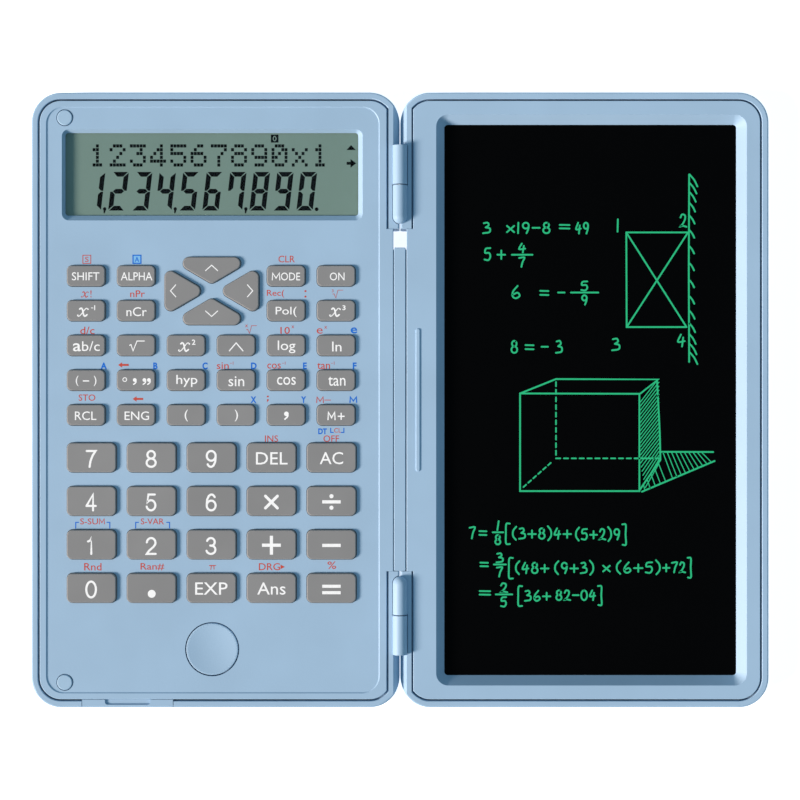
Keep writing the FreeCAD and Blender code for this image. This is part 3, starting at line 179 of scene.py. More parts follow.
FILM = grained("film_black", (0.0006, 0.0006, 0.0007), 0.45, 0.04, 2500.0, 0.003, 0.1)
BACKPLATE = grained("backplate_grey", (0.2, 0.2, 0.21), 0.6, 0.3, 1500.0, 0.01)
WHITE_INK = ink("white_ink", (0.98, 0.98, 0.98))
RED_INK = ink("red_ink", (0.56, 0.075, 0.05))
BLUE_INK = ink("blue_ink", (0.001, 0.15, 0.66))
AZURE_INK = ink("azure_ink", (0.22, 0.52, 0.86))
SEGMENT_INK = ink("display_segments", (0.001, 0.001, 0.001), 0.6, 0.03)
WRITING = ink("writing_green", (0.02, 0.5, 0.21), 0.5)
FLOOR = pale_floor()

NODE_MATERIALS = {
    "base_shell": CASE, "front_panel": CASE, "lid_shell": CASE, "lid_bezel": CASE,
    "battery_tray": CASE, "erase_button": CASE, "corner_plugs": PAD, "stylus": CASE,
    "display_window": WINDOW, "display_panel": DISPLAY, "display_connector": RUBBER,
    "circuit_board": BOARD, "key_membrane": SILICONE, "coin_cell": CELL,
    "battery_contacts": CONTACT, "case_screws": SCREW, "lid_screws": SCREW,
    "hinge_pins": PIN, "writing_screen": FILM, "screen_backplate": BACKPLATE,
}


def dress_nodes():
    """Gives every CAD node its material. Nodes not named above are keycaps."""
    for name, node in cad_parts.items():
        node.data.materials.clear()
        node.data.materials.append(NODE_MATERIALS.get(name, KEYCAP))


# ------------------------------------------------------------------ ink shapes

class Ink:
    """Flat printed shapes at one height, gathered into one mesh."""

    def __init__(self, height, material, body):
        self.height = height
        self.material = material
        self.body = body
        self.points = []
        self.faces = []
        self.layer = 0

    def polygon(self, corners):
        """A filled shape from its corners in millimetres, each shape on its own thin layer."""
        self.layer = (self.layer + 1) % LAYERS
        z = self.height + INK_LIFT + LAYER * self.layer
        first = len(self.points)
        self.points += [(x * MM, y * MM, z * MM) for x, y in corners]
        self.faces.append(tuple(range(first, first + len(corners))))

    def disc(self, x, y, radius, sides=20):
        """A filled circle about a centre."""
        turn = 2 * math.pi / sides
        self.polygon([(x + radius * math.cos(turn * i), y + radius * math.sin(turn * i))
                      for i in range(sides)])

    def box(self, x, y, width, height):
        """A filled rectangle about a centre."""
        left, right, low, high = x - width / 2, x + width / 2, y - height / 2, y + height / 2
        self.polygon([(left, low), (right, low), (right, high), (left, high)])

    def stroke(self, points, width, closed=False):
        """A line of even width with mitred bends and round ends."""
        points = [Vector(p) for p in points]
        count = len(points)
        half = width / 2
        left, right = [], []
        for i, point in enumerate(points):
            before = points[i - 1] if i or closed else None
            after = points[(i + 1) % count] if i < count - 1 or closed else None
            ways = []
            if before is not None:
                ways.append((point - before).normalized())
            if after is not None:
                ways.append((after - point).normalized())
            way = sum(ways, Vector((0, 0))).normalized() if len(ways) > 1 else ways[0]
            if way.length < 0.1:
                way = ways[0]
            stretch = max(0.45, way.dot(ways[0]))
            side = Vector((-way.y, way.x)) * half / stretch
            left.append(point + side)
            right.append(point - side)
        if closed:
            left.append(left[0])
            right.append(right[0])
        self.layer = (self.layer + 1) % LAYERS
        z = (self.height + INK_LIFT + LAYER * self.layer) * MM
        first = len(self.points)
        for a, b in zip(left, right):
            self.points += [(a.x * MM, a.y * MM, z), (b.x * MM, b.y * MM, z)]
        for i in range(len(left) - 1):
            low = first + 2 * i
            self.faces.append((low, low + 1, low + 3, low + 2))
        if not closed:
            self.cap(points[0], points[0] - points[1], half, z)
            self.cap(points[-1], points[-1] - points[-2], half, z)

    def cap(self, centre, way, radius, z, sides=6):
        """Half a disc at the end of a stroke."""
        start = math.atan2(way.y, way.x) - math.pi / 2
        first = len(self.points)
        for i in range(sides + 1):
            angle = start + math.pi * i / sides
            self.points.append(((centre.x + radius * math.cos(angle)) * MM,
                                (centre.y + radius * math.sin(angle)) * MM, z))
        self.faces.append(tuple(range(first, first + sides + 1)))

    def curve(self, points, width, closed=False, steps=6):
        """A smooth line through points."""
        self.stroke(smooth_line(points, closed, steps), width, closed)

    def word(self, text, x, y, width, height, weight=0.002):
        """Upright lettering whose ink fills a box about a centre."""
        data = bpy.data.curves.new("lettering", "FONT")
        data.body = text
        data.size = 1.0
        data.offset = weight
        data.resolution_u = 3
        maker = bpy.data.objects.new("lettering", data)
        mesh = bpy.data.meshes.new_from_object(maker)
        places = [vertex.co for vertex in mesh.vertices]
        low_x, high_x = min(p.x for p in places), max(p.x for p in places)
        low_y, high_y = min(p.y for p in places), max(p.y for p in places)
        across, up = width / (high_x - low_x), height / (high_y - low_y)
        z = self.height + INK_LIFT
        first = len(self.points)
        for p in places:
            self.points.append(((x - width / 2 + (p.x - low_x) * across) * MM,
                                (y - height / 2 + (p.y - low_y) * up) * MM, z * MM))
        for face in mesh.polygons:
            self.faces.append(tuple(first + corner for corner in face.vertices))
        bpy.data.objects.remove(maker)
        bpy.data.curves.remove(data)
        bpy.data.meshes.remove(mesh)

    def build(self, name):
        """Makes the object, riding on its CAD body."""
        mesh = bpy.data.meshes.new(name)
        mesh.from_pydata(self.points, [], self.faces)
        face_up(mesh)
        mesh.materials.append(self.material)
        made = bpy.data.objects.new(name, mesh)
        bpy.context.scene.collection.objects.link(made)
        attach(made, self.body)
        return made


def face_up(mesh):
    """Turns every face of a flat mesh to look up."""
    for face in mesh.polygons:
        if face.normal.z < 0:
            face.flip()


def smooth_line(points, closed, steps):
    """Points along a smooth line through the given ones."""
    points = [Vector(p) for p in points]
    count = len(points)
    result = []
    spans = count if closed else count - 1
    for i in range(spans):
        if closed:
            a, b, c, d = (points[(i + k) % count] for k in (-1, 0, 1, 2))
        else:
            b, c = points[i], points[i + 1]
            a = points[i - 1] if i else b * 2 - c
            d = points[i + 2] if i + 2 < count else c * 2 - b
        for step in range(steps):
            t = step / steps
            result.append(0.5 * (2 * b + (c - a) * t + (2 * a - 5 * b + 4 * c - d) * t ** 2
                                 + (3 * b - a - 3 * c + d) * t ** 3))
    if not closed:
        result.append(points[-1])
    return result


def arc(x, y, across, up, start, stop, steps=14):
    """Points along part of an ellipse, angles in degrees."""
    return [(x + across * math.cos(math.radians(start + (stop - start) * i / steps)),
             y + up * math.sin(math.radians(start + (stop - start) * i / steps)))
            for i in range(steps + 1)]


def middle_of(name):
    """A CAD node's centre and top in millimetres."""
    low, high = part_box(name)
    return (low.x + high.x) / 2 / MM, (low.y + high.y) / 2 / MM, high.z / MM


# ------------------------------------------------------------------ digits on the large keys

def digit_strokes(digit):
    """A digit as strokes in a box 1 wide and 1.5 high, each with whether it is closed."""
    if digit == 0:
        return [(arc(0.5, 0.75, 0.5, 0.75, 0, 360, 32)[:-1], True)]
    if digit == 1:
        return [([(0.18, 1.18), (0.34, 1.24), (0.46, 1.33), (0.52, 1.5), (0.52, 0.0)], False)]
    if digit == 2:
        return [(arc(0.5, 1.05, 0.45, 0.45, 175, -20, 14)
                 + [(0.74, 0.66), (0.28, 0.3), (0.05, 0.0), (0.97, 0.0)], False)]
    if digit == 3:
        return [(arc(0.47, 1.13, 0.4, 0.37, 165, -80, 14) + [(0.4, 0.79)], False),
                ([(0.4, 0.79), (0.55, 0.78)] + arc(0.47, 0.4, 0.47, 0.4, 72, -165, 16), False)]
    if digit == 4:
        return [([(0.7, 0.0), (0.7, 1.5), (0.02, 0.42)], False),
                ([(0.02, 0.42), (0.98, 0.42)], False)]
    if digit == 5:
        return [([(0.88, 1.5), (0.22, 1.5), (0.1, 0.75)]
                 + arc(0.48, 0.48, 0.46, 0.48, 130, -165, 18), False)]
    if digit == 6:
        return [(arc(0.5, 0.46, 0.46, 0.46, 0, 360, 24)[:-1], True),
                (arc(0.52, 1.08, 0.38, 0.42, 25, 100, 6)
                 + [(0.26, 1.38), (0.08, 1.02), (0.04, 0.5)], False)]
    if digit == 7:
        return [([(0.04, 1.5), (0.96, 1.5), (0.66, 1.08), (0.44, 0.56), (0.34, 0.0)], False)]
    if digit == 8:
        return [(arc(0.5, 1.14, 0.39, 0.36, 0, 360, 24)[:-1], True),
                (arc(0.5, 0.39, 0.47, 0.39, 0, 360, 24)[:-1], True)]
    return [(arc(0.5, 1.04, 0.46, 0.46, 0, 360, 24)[:-1], True),
            (arc(0.48, 0.42, 0.38, 0.42, 205, 280, 6)
             + [(0.74, 0.12), (0.92, 0.48), (0.96, 1.0)], False)]


def draw_digit(art, digit, x, y, width=2.55, height=4.2, weight=0.56):
    """A digit about a place."""
    for points, closed in digit_strokes(digit):
        placed = [(x + (px - 0.5) * width, y + (py / 1.5 - 0.5) * height) for px, py in points]
        art.stroke(placed, weight, closed)


def draw_italic_x(art, x, y, width, height, weight=0.42):
    """A slanting serif x: a thick stroke with curled ends, crossed by a thin one."""
    thick = ((-0.55, 0.75), (-0.3, 0.98), (-0.05, 0.6), (0.12, -0.5), (0.35, -0.95), (0.75, -0.6))
    thin = ((-0.95, -0.75), (-0.75, -0.98), (-0.35, -0.6), (0.3, 0.55), (0.65, 0.95), (0.98, 0.75))
    for points, share in ((thick, 1.0), (thin, 0.6)):
        art.curve([(x + px * width / 2, y + py * height / 2) for px, py in points], weight * share)
    art.disc(x + 0.9 * width / 2, y + 0.68 * height / 2, weight * 0.42, 12)
    art.disc(x - 0.87 * width / 2, y - 0.68 * height / 2, weight * 0.42, 12)


# ------------------------------------------------------------------ key legends

def key_art(name, column=None, columns=6):
    """Ink on a key's top, with the centre of that key. A row of keys is one node."""
    low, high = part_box(name)
    x, y, top = middle_of(name)
    if column is not None:
        cell = SMALL_KEY_WIDTH + 2 * KEY_FLANGE
        pitch = ((high.x - low.x) / MM - cell) / (columns - 1)
        x = low.x / MM + cell / 2 + pitch * column
    return Ink(top, WHITE_INK, name), x, y


# legend, offset of its middle from the key's, width and height of the ink
WORD_KEYS = {
    "key_shift": ("SHIFT", -0.05, -0.15, 7.3, 2.15),
    "key_alpha": ("ALPHA", 0.2, -0.15, 8.4, 2.15),
    "key_mode": ("ODE", 1.2, -0.2, 5.1, 2.1),
    "key_on": ("ON", 0.3, -0.2, 3.9, 2.1),
    "key_combination": ("nCr", 0.2, -0.3, 5.4, 2.4),
    "key_polar": ("Pol(", 0.05, -0.35, 5.6, 2.75),
    "key_log": ("log", 0.15, -0.4, 4.7, 3.35),
    "key_ln": ("ln", 0.2, -0.3, 2.5, 2.6),
    "key_delete": ("DEL", 0.1, -0.2, 8.4, 3.25),
    "key_clear": ("AC", 0.0, -0.15, 6.2, 3.25),
    "key_exponent": ("EXP", 0.0, -0.1, 8.6, 3.25),
    "key_answer": ("Ans", 0.0, -0.1, 7.5, 3.25),
}


def make_word_keys():
    """Keys whose legend is one word."""
    for name, (text, dx, dy, width, height) in WORD_KEYS.items():
        art, x, y = key_art(name)
        art.word(text, x + dx, y + dy, width, height)
        if name == "key_mode":
            draw_m(art, x - 2.65, y + dy, 2.25, height, 0.27)
        art.build(f"legend_{name}")


def draw_m(art, x, y, width, height, weight):
    """A capital M about a place."""
    half, up = (width - weight) / 2, (height - weight) / 2
    art.stroke([(x - half, y - up), (x - half * 0.9, y + up), (x, y - up * 0.5),
                (x + half * 0.9, y + up), (x + half, y - up)], weight)


def make_function_keys():
    """Small keys with powers, roots and the fraction."""
    art, x, y = key_art("key_reciprocal")
    draw_italic_x(art, x - 0.8, y - 0.45, 3.0, 2.2)
    art.stroke([(x + 1.45, y + 0.7), (x + 1.9, y + 0.7)], 0.2)
    art.word("1", x + 2.35, y + 0.75, 0.25, 1.3, 0.03)
    art.build("legend_key_reciprocal")

    art, x, y = key_art("key_cube")
    draw_italic_x(art, x - 0.3, y - 0.45, 3.0, 2.2)
    art.word("3", x + 2.1, y + 0.75, 0.85, 1.3, 0.02)
    art.build("legend_key_cube")

    art, x, y = key_art("key_square")
    draw_italic_x(art, x - 0.5, y - 0.45, 3.1, 2.3)
    art.word("2", x + 2.05, y + 0.85, 0.95, 1.4, 0.02)
    art.build("legend_key_square")

    art, x, y = key_art("key_fraction")
    art.word("a", x - 2.35, y - 0.5, 2.15, 2.15, 0.008)
    art.word("b/c", x + 1.35, y - 0.2, 4.7, 2.6, 0.0)
    art.build("legend_key_fraction")

    art, x, y = key_art("key_square_root")
    art.stroke([(x - 1.65, y), (x - 1.3, y + 0.2), (x - 0.75, y - 1.45), (x + 0.3, y + 1.15),
                (x + 2.25, y + 1.15)], 0.26)
    art.build("legend_key_square_root")

    art, x, y = key_art("key_power")
    art.stroke([(x - 1.75, y - 1.45), (x + 0.05, y + 0.65), (x + 1.85, y - 1.45)], 0.3)
    art.build("legend_key_power")


def make_row_keys():
    """The two rows of small keys under the functions."""
    row = "keys_trigonometry"
    art, x, y = key_art(row, 0)
    for shift, sign in ((-2.3, "("), (2.45, ")")):
        art.word(sign, x + shift, y - 0.2, 0.75, 2.75, 0.0)
    art.box(x + 0.05, y - 0.2, 1.7, 0.32)
    _, x, y = key_art(row, 1)
    ring = arc(x - 2.95, y + 0.15, 0.5, 0.5, 0, 360, 18)[:-1]
    art.stroke(ring, 0.22, True)
    for shift in (-0.3, 2.25, 3.45):
        art.disc(x + shift, y + 0.05, 0.5, 14)
        art.curve([(x + shift + 0.3, y + 0.05), (x + shift + 0.28, y - 0.6),
                   (x + shift - 0.3, y - 1.1)], 0.34)
    for column, text, dx, dy, width, height in (
            (2, "hyp", 0.25, -0.2, 5.6, 3.2), (3, "sin", 0.1, -0.3, 4.2, 2.65),
            (4, "cos", 0.1, -0.2, 5.0, 2.1), (5, "tan", 0.2, -0.25, 4.6, 2.5)):
        _, x, y = key_art(row, column)
        art.word(text, x + dx, y + dy, width, height)
    art.build(f"legend_{row}")

    row = "keys_memory"
    art, x, y = key_art(row, 0)
    for column, text, dx, dy, width, height in (
            (0, "RCL", -0.05, -0.2, 5.7, 2.3), (1, "ENG", 0.25, -0.2, 6.5, 2.3),
            (2, "(", 0.1, -0.15, 0.9, 3.1), (3, ")", 0.1, -0.15, 0.9, 3.1),
            (5, "+", 1.35, -0.35, 1.85, 1.85)):
        _, x, y = key_art(row, column)
        art.word(text, x + dx, y + dy, width, height)
    _, x, y = key_art(row, 5)
    draw_m(art, x - 1.2, y - 0.25, 2.2, 2.3, 0.34)
    _, x, y = key_art(row, 4)
    art.disc(x + 0.1, y + 0.3, 0.62, 16)
    art.curve([(x + 0.45, y + 0.3), (x + 0.42, y - 0.4), (x - 0.3, y - 1.1)], 0.4)
    art.build(f"legend_{row}")


def make_number_keys():
    """The ten digits and the point."""
    for digit in range(10):
        name = f"key_{digit}"
        art, x, y = key_art(name)
        draw_digit(art, digit, x - 0.05, y - 0.35)
        art.build(f"legend_{name}")
    art, x, y = key_art("key_point")
    art.disc(x + 0.1, y - 1.5, 1.05, 28)
    art.build("legend_key_point")


def make_operator_keys():
    """Thick signs on the large keys."""
    reach, weight = 2.25, 0.85
    art, x, y = key_art("key_multiply")
    for sign in (1, -1):
        art.stroke([(x - 1.6, y - 0.25 - 1.6 * sign), (x + 1.6, y - 0.25 + 1.6 * sign)], 0.75)
    art.build("legend_key_multiply")
    art, x, y = key_art("key_divide")
    art.box(x, y - 0.2, 2 * reach + 0.4, weight)
    for height in (1.3, -1.75):
        art.disc(x, y + height, 0.55)
    art.build("legend_key_divide")
    art, x, y = key_art("key_plus")
    art.box(x, y - 0.15, 2 * reach + 0.5, weight)
    art.box(x, y - 0.15, weight, 2 * reach + 0.5)
    art.build("legend_key_plus")
    art, x, y = key_art("key_minus")
    art.box(x, y - 0.2, 2 * reach + 0.4, weight)
    art.build("legend_key_minus")
    art, x, y = key_art("key_equals")
    for height in (0.5, -1.2):
        art.box(x, y + height, 2 * reach + 0.4, 0.82)
    art.build("legend_key_equals")


def cursor_middle():
    """The middle of the four cursor keys."""
    left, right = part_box("key_left")[0].x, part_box("key_right")[1].x
    low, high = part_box("key_down")[0].y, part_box("key_up")[1].y
    return (left + right) / 2 / MM, (low + high) / 2 / MM


def make_cursor_keys():
    """An arrow head on each of the four cursor keys."""
    x, y = cursor_middle()
    for name, sideways, sign in (("key_up", False, 1), ("key_down", False, -1),
                                 ("key_left", True, -1), ("key_right", True, 1)):
        art = Ink(middle_of(name)[2], WHITE_INK, name)
        tip, back = (10.9, 9.5) if sideways else (6.8, 5.35)
        if sideways:
            points = [(x + sign * back, y + 1.6), (x + sign * tip, y), (x + sign * back, y - 1.6)]
        else:
            points = [(x - 1.6, y + sign * back), (x, y + sign * tip), (x + 1.6, y + sign * back)]
        art.stroke(points, 0.25)
        art.build(f"legend_{name}")


# ------------------------------------------------------------------ legends on the face

def face_place(name, column=None):
    """The middle of a key, for a legend beside it."""
    _, x, y = key_art(name, column)
    return x, y


def make_red_legends(top):
    """Second meanings, printed in red above the keys."""
    art = Ink(top, RED_INK, "calculator")
    thin = 0.2
    for name, column, text, dx, dy, width, height in (
            ("key_mode", None, "CLR", 0.1, 4.5, 4.35, 1.8),
            ("key_combination", None, "nPr", 0.3, 4.5, 3.9, 1.8),
            ("key_polar", None, "Rec(", -2.85, 4.5, 4.6, 2.1),
            ("key_fraction", None, "d/c", 0.25, 4.0, 3.8, 2.0),
            ("key_log", None, "10", -0.3, 4.0, 2.5, 1.85),
            ("keys_trigonometry", 3, "sin", -3.6, 3.85, 3.2, 1.8),
            ("keys_trigonometry", 4, "cos", -3.25, 3.75, 3.6, 1.35),
            ("keys_trigonometry", 5, "tan", -3.35, 3.8, 3.4, 1.65),
            ("keys_memory", 0, "STO", 0.15, 4.6, 4.45, 1.7),
            ("keys_memory", 5, "–", -2.25, 3.95, 1.7, 0.2),
            ("key_delete", None, "INS", -0.05, 5.0, 3.5, 1.75),
            ("key_clear", None, "OFF", -0.1, 5.0, 4.15, 1.75),
            ("key_clear", None, "CL", 1.6, 7.2, 1.9, 1.2),
            ("key_1", None, "S-SU", -0.75, 6.1, 4.75, 1.6),
            ("key_2", None, "S-VAR", 0.15, 6.1, 6.15, 1.6),
            ("key_0", None, "Rnd", 0.25, 5.6, 4.6, 1.95),
            ("key_point", None, "Ran#", 0.15, 5.6, 6.3, 1.95),
            ("key_answer", None, "DRG", -0.6, 5.6, 5.6, 1.9),
            ("key_equals", None, "%", 0.05, 6.0, 2.3, 2.0)):
        x, y = face_place(name, column)
        art.word(text, x + dx, y + dy, width, height, 0.004)

    x, y = face_place("key_shift")
    art.stroke([(x - 0.95, y + 3.35), (x + 1.15, y + 3.35), (x + 1.15, y + 5.5),
                (x - 0.95, y + 5.5)], thin, True)
    art.word("S", x + 0.1, y + 4.4, 0.95, 1.4, 0.004)
    x, y = face_place("key_1")
    draw_m(art, x + 2.65, y + 6.1, 1.55, 1.6, 0.2)
    x, y = face_place("key_reciprocal")
    draw_italic_x(art, x - 0.45, y + 4.3, 2.0, 1.5, 0.26)
    art.word("!", x + 1.2, y + 4.5, 0.3, 1.9)
    x, y = face_place("key_polar")
    for height in (3.75, 5.2):
        art.disc(x + 5.1, y + height, 0.27, 12)
    for name, dx, lift in (("key_cube", 0.0, 3.4), ("key_power", 3.6, 3.2)):
        x, y = face_place(name)
        draw_radical(art, x + dx, y + lift)
    x, y = face_place("key_cube")
    art.word("3", x - 0.95, y + 5.3, 0.45, 0.8, 0.0)
    for name, dx, dy in (("key_power", 2.7, 5.2), ("key_log", 1.75, 4.95), ("key_ln", -2.8, 4.8)):
        x, y = face_place(name)
        art.word("x", x + dx, y + dy, 0.75, 0.7, 0.0)
    x, y = face_place("key_ln")
    art.word("e", x - 4.4, y + 3.85, 1.6, 1.45, 0.0)
    for row, column, dx, dy in (("keys_trigonometry", 1, -3.45, 4.05),
                                ("keys_memory", 1, 0.4, 4.25)):
        x, y = face_place(row, column)
        draw_back_arrow(art, x + dx, y + dy)
    for column, dx in ((3, -1.3), (4, -0.75), (5, -1.0)):
        x, y = face_place("keys_trigonometry", column)
        art.stroke([(x + dx - 0.3, y + 4.5), (x + dx + 0.05, y + 4.5)], 0.12)
        art.stroke([(x + dx + 0.45, y + 4.15), (x + dx + 0.45, y + 4.9)], 0.12)
    x, y = face_place("keys_memory", 5)
    draw_m(art, x - 4.3, y + 4.0, 2.0, 1.75, 0.22)
    x, y = face_place("keys_memory", 4)
    art.disc(x - 4.9, y + 4.9, 0.25, 12)
    art.disc(x - 4.9, y + 3.95, 0.25, 12)
    art.stroke([(x - 4.85, y + 3.9), (x - 5.05, y + 3.5)], 0.18)
    x, y = face_place("key_exponent")
    art.stroke([(x - 0.6, y + 5.9), (x + 1.0, y + 5.9)], 0.24)
    art.stroke([(x - 0.1, y + 5.9), (x - 0.25, y + 4.9)], 0.2)
    art.stroke([(x + 0.55, y + 5.9), (x + 0.6, y + 4.95)], 0.2)
    x, y = face_place("key_answer")
    art.polygon([(x + 2.35, y + 4.95), (x + 3.5, y + 5.55), (x + 2.35, y + 6.15)])
    art.build("red_legends")


def draw_radical(art, x, y):
    """A root sign with its foot at a place."""
    art.stroke([(x - 0.9, y + 1.0), (x - 0.6, y + 1.1), (x - 0.1, y), (x + 0.45, y + 2.05),
                (x + 1.8, y + 2.05)], 0.14)


def draw_back_arrow(art, x, y):
    """A short arrow that points left, about a place."""
    art.box(x + 0.35, y, 2.1, 0.55)
    art.polygon([(x - 1.4, y), (x - 0.35, y - 0.72), (x - 0.35, y + 0.72)])


def make_blue_legends(top):
    """Letters and brackets, printed in blue above the keys."""
    art = Ink(top, BLUE_INK, "calculator")
    for row, column, text, dx, dy, width, height in (
            ("keys_trigonometry", 0, "A", 4.6, 3.8, 1.7, 1.8),
            ("keys_trigonometry", 1, "B", 5.05, 3.8, 1.15, 1.8),
            ("keys_trigonometry", 2, "C", 4.95, 3.8, 1.4, 1.85),
            ("keys_trigonometry", 3, "D", 4.65, 3.8, 1.5, 1.8),
            ("keys_trigonometry", 4, "E", 4.95, 3.8, 1.0, 1.8),
            ("keys_trigonometry", 5, "F", 4.9, 3.8, 1.0, 1.8),
            ("keys_memory", 3, "X", 4.55, 4.05, 1.5, 1.75),
            ("keys_memory", 4, "Y", 4.6, 4.05, 1.35, 1.75),
            ("key_clear", None, "DT", -2.4, 6.95, 2.3, 1.55)):
        x, y = face_place(row, column)
        art.word(text, x + dx, y + dy, width, height, 0.035)
    x, y = face_place("keys_memory", 5)
    draw_m(art, x + 4.55, y + 4.05, 2.1, 1.75, 0.32)
    x, y = face_place("key_ln")
    art.word("e", x + 4.7, y + 4.0, 1.75, 1.6, 0.016)
    x, y = face_place("key_clear")
    for dx, way in ((-0.25, 1), (3.25, -1)):
        art.stroke([(x + dx, y + 7.75), (x + dx, y + 6.65), (x + dx + 0.7 * way, y + 6.65)], 0.26)
    for name, left, right in (("key_1", -4.3, 4.75), ("key_2", -4.3, 4.7)):
        x, y = face_place(name)
        for dx, way in ((left, 1), (right, -1)):
            art.stroke([(x + dx, y + 4.35), (x + dx, y + 5.85), (x + dx + 0.75 * way, y + 5.85)],
                       0.26)
    x, y = face_place("key_alpha")
    frame_left, frame_right, low, high = x - 0.9, x + 1.2, y + 3.35, y + 5.5
    art.stroke([(frame_left, low), (frame_right, low), (frame_right, high), (frame_left, high)],
               0.3, True)
    art.word("A", x + 0.15, y + 4.4, 1.2, 1.35, 0.01)
    art.build("blue_legends")
    field = Ink(top - 0.5 * INK_LIFT, AZURE_INK, "calculator")
    field.polygon([(frame_left, low), (frame_right, low), (frame_right, high), (frame_left, high)])
    field.build("blue_field")


# ------------------------------------------------------------------ display

DOT_LETTERS = {
    "1": ("..#..", ".##..", "..#..", "..#..", "..#..", ".###."),
    "2": (".###.", "#...#", "...#.", "..#..", ".#...", "#####"),
    "3": ("#####", "...#.", "..##.", "....#", "#...#", ".###."),
    "4": ("...#.", "..##.", ".#.#.", "#..#.", "#####", "...#."),
    "5": ("#####", "#....", "####.", "....#", "#...#", ".###."),
    "6": ("..##.", ".#...", "####.", "#...#", "#...#", ".###."),
    "7": ("#####", "....#", "...#.", "..#..", "..#..", "..#.."),
    "8": (".###.", "#...#", ".###.", "#...#", "#...#", ".###."),
    "9": (".###.", "#...#", "#...#", ".####", "....#", ".###."),
    "0": (".###.", "#..##", "#.#.#", "##..#", "#...#", ".###."),
    "x": (".....", "#...#", ".#.#.", "..#..", ".#.#.", "#...#"),
}
SEGMENTS = {"0": "abcdef", "1": "bc", "2": "abged", "3": "abgcd", "4": "fgbc", "5": "afgcd",
            "6": "afgedc", "7": "fabc", "8": "abcdefg", "9": "abcdfg"}


def draw_dot_line(art, text, left, top):
    """A line of dot-matrix characters."""
    pitch, across, down = 5.4, 0.871, 1.017
    for i, letter in enumerate(text):
        for row, dots in enumerate(DOT_LETTERS[letter]):
            for column, dot in enumerate(dots):
                if dot == "#":
                    art.box(left + pitch * i + across * column, top - down * row, 0.76, 0.84)


SEGMENT_PITCH = 6.28


def segment_shapes(width, height, thick):
    """The seven segments of an upright digit whose lower left corner is at the origin."""
    gap = 0.13
    mid = height / 2
    slope = thick * 0.55
    return {
        "a": [(gap * 2, height), (width - gap * 2, height), (width - thick - gap, height - thick),
              (thick + gap, height - thick)],
        "d": [(thick + gap, thick), (width - thick - gap, thick), (width - gap * 2, 0),
              (gap * 2, 0)],
        "f": [(0, height - gap * 2), (thick, height - thick - gap), (thick, mid + slope + gap),
              (thick * 0.45, mid + gap), (0, mid + gap)],
        "b": [(width, height - gap * 2), (width - thick, height - thick - gap),
              (width - thick, mid + slope + gap), (width - thick * 0.45, mid + gap),
              (width, mid + gap)],
        "e": [(0, gap * 2), (thick, thick + gap), (thick, mid - slope - gap),
              (thick * 0.45, mid - gap), (0, mid - gap)],
        "c": [(width, gap * 2), (width - thick, thick + gap), (width - thick, mid - slope - gap),
              (width - thick * 0.45, mid - gap), (width, mid - gap)],
        "g": [(slope, mid), (thick + gap, mid + thick / 2),
              (width - thick - gap, mid + thick / 2), (width - slope, mid),
              (width - thick - gap, mid - thick / 2), (thick + gap, mid - thick / 2)],
    }


def draw_segment_line(art, text, right, low):
    """A line of slanting seven-segment digits that ends at a place."""
    width, height, thick, pitch = 4.35, 10.3, 1.25, SEGMENT_PITCH
    lean = math.tan(math.radians(6.6))
    shapes = segment_shapes(width, height, thick)
    for i, digit in enumerate(reversed(text)):
        left = right - width - pitch * i
        for name in SEGMENTS[digit]:
            art.polygon([(left + x + y * lean, low + y) for x, y in shapes[name]])


def make_display_marks(face):
    """Everything that the display shows: a line of dots, a line of segments and four signs."""
    art = Ink(face, SEGMENT_INK, "calculator")
    right, low = -23.3, 50.55
    draw_dot_line(art, "1234567890x1", -82.5, 67.8)
    draw_segment_line(art, "1234567890", right, low)
    for digits in (9, 6, 3):
        x = right - digits * SEGMENT_PITCH + 1.0
        art.disc(x, low + 0.45, 0.45, 14)
        art.polygon([(x - 0.3, low + 0.25), (x + 0.4, low + 0.35), (x, low - 0.75),
                     (x - 0.25, low - 0.75)])
    art.disc(right + 1.05, low + 0.35, 0.5, 16)
    art.polygon([(-14.3, 66.7), (-11.8, 66.7), (-13.05, 68.0)])
    art.box(-13.65, 63.15, 1.2, 0.75)
    art.polygon([(-13.2, 64.3), (-11.7, 63.15), (-13.2, 62.0)])
    sign_x, sign_y = -33.45, 69.75
    art.box(sign_x, sign_y, 2.0, 2.1)
    art.build("display_marks")
    light = Ink(face + INK_LIFT, DISPLAY, "calculator")
    light.stroke(arc(sign_x, sign_y, 0.38, 0.6, 0, 360, 16)[:-1], 0.24, True)
    light.build("display_light_sign")


# ------------------------------------------------------------------ writing on the tablet

PEN = 0.46
THIN_PEN = 0.26

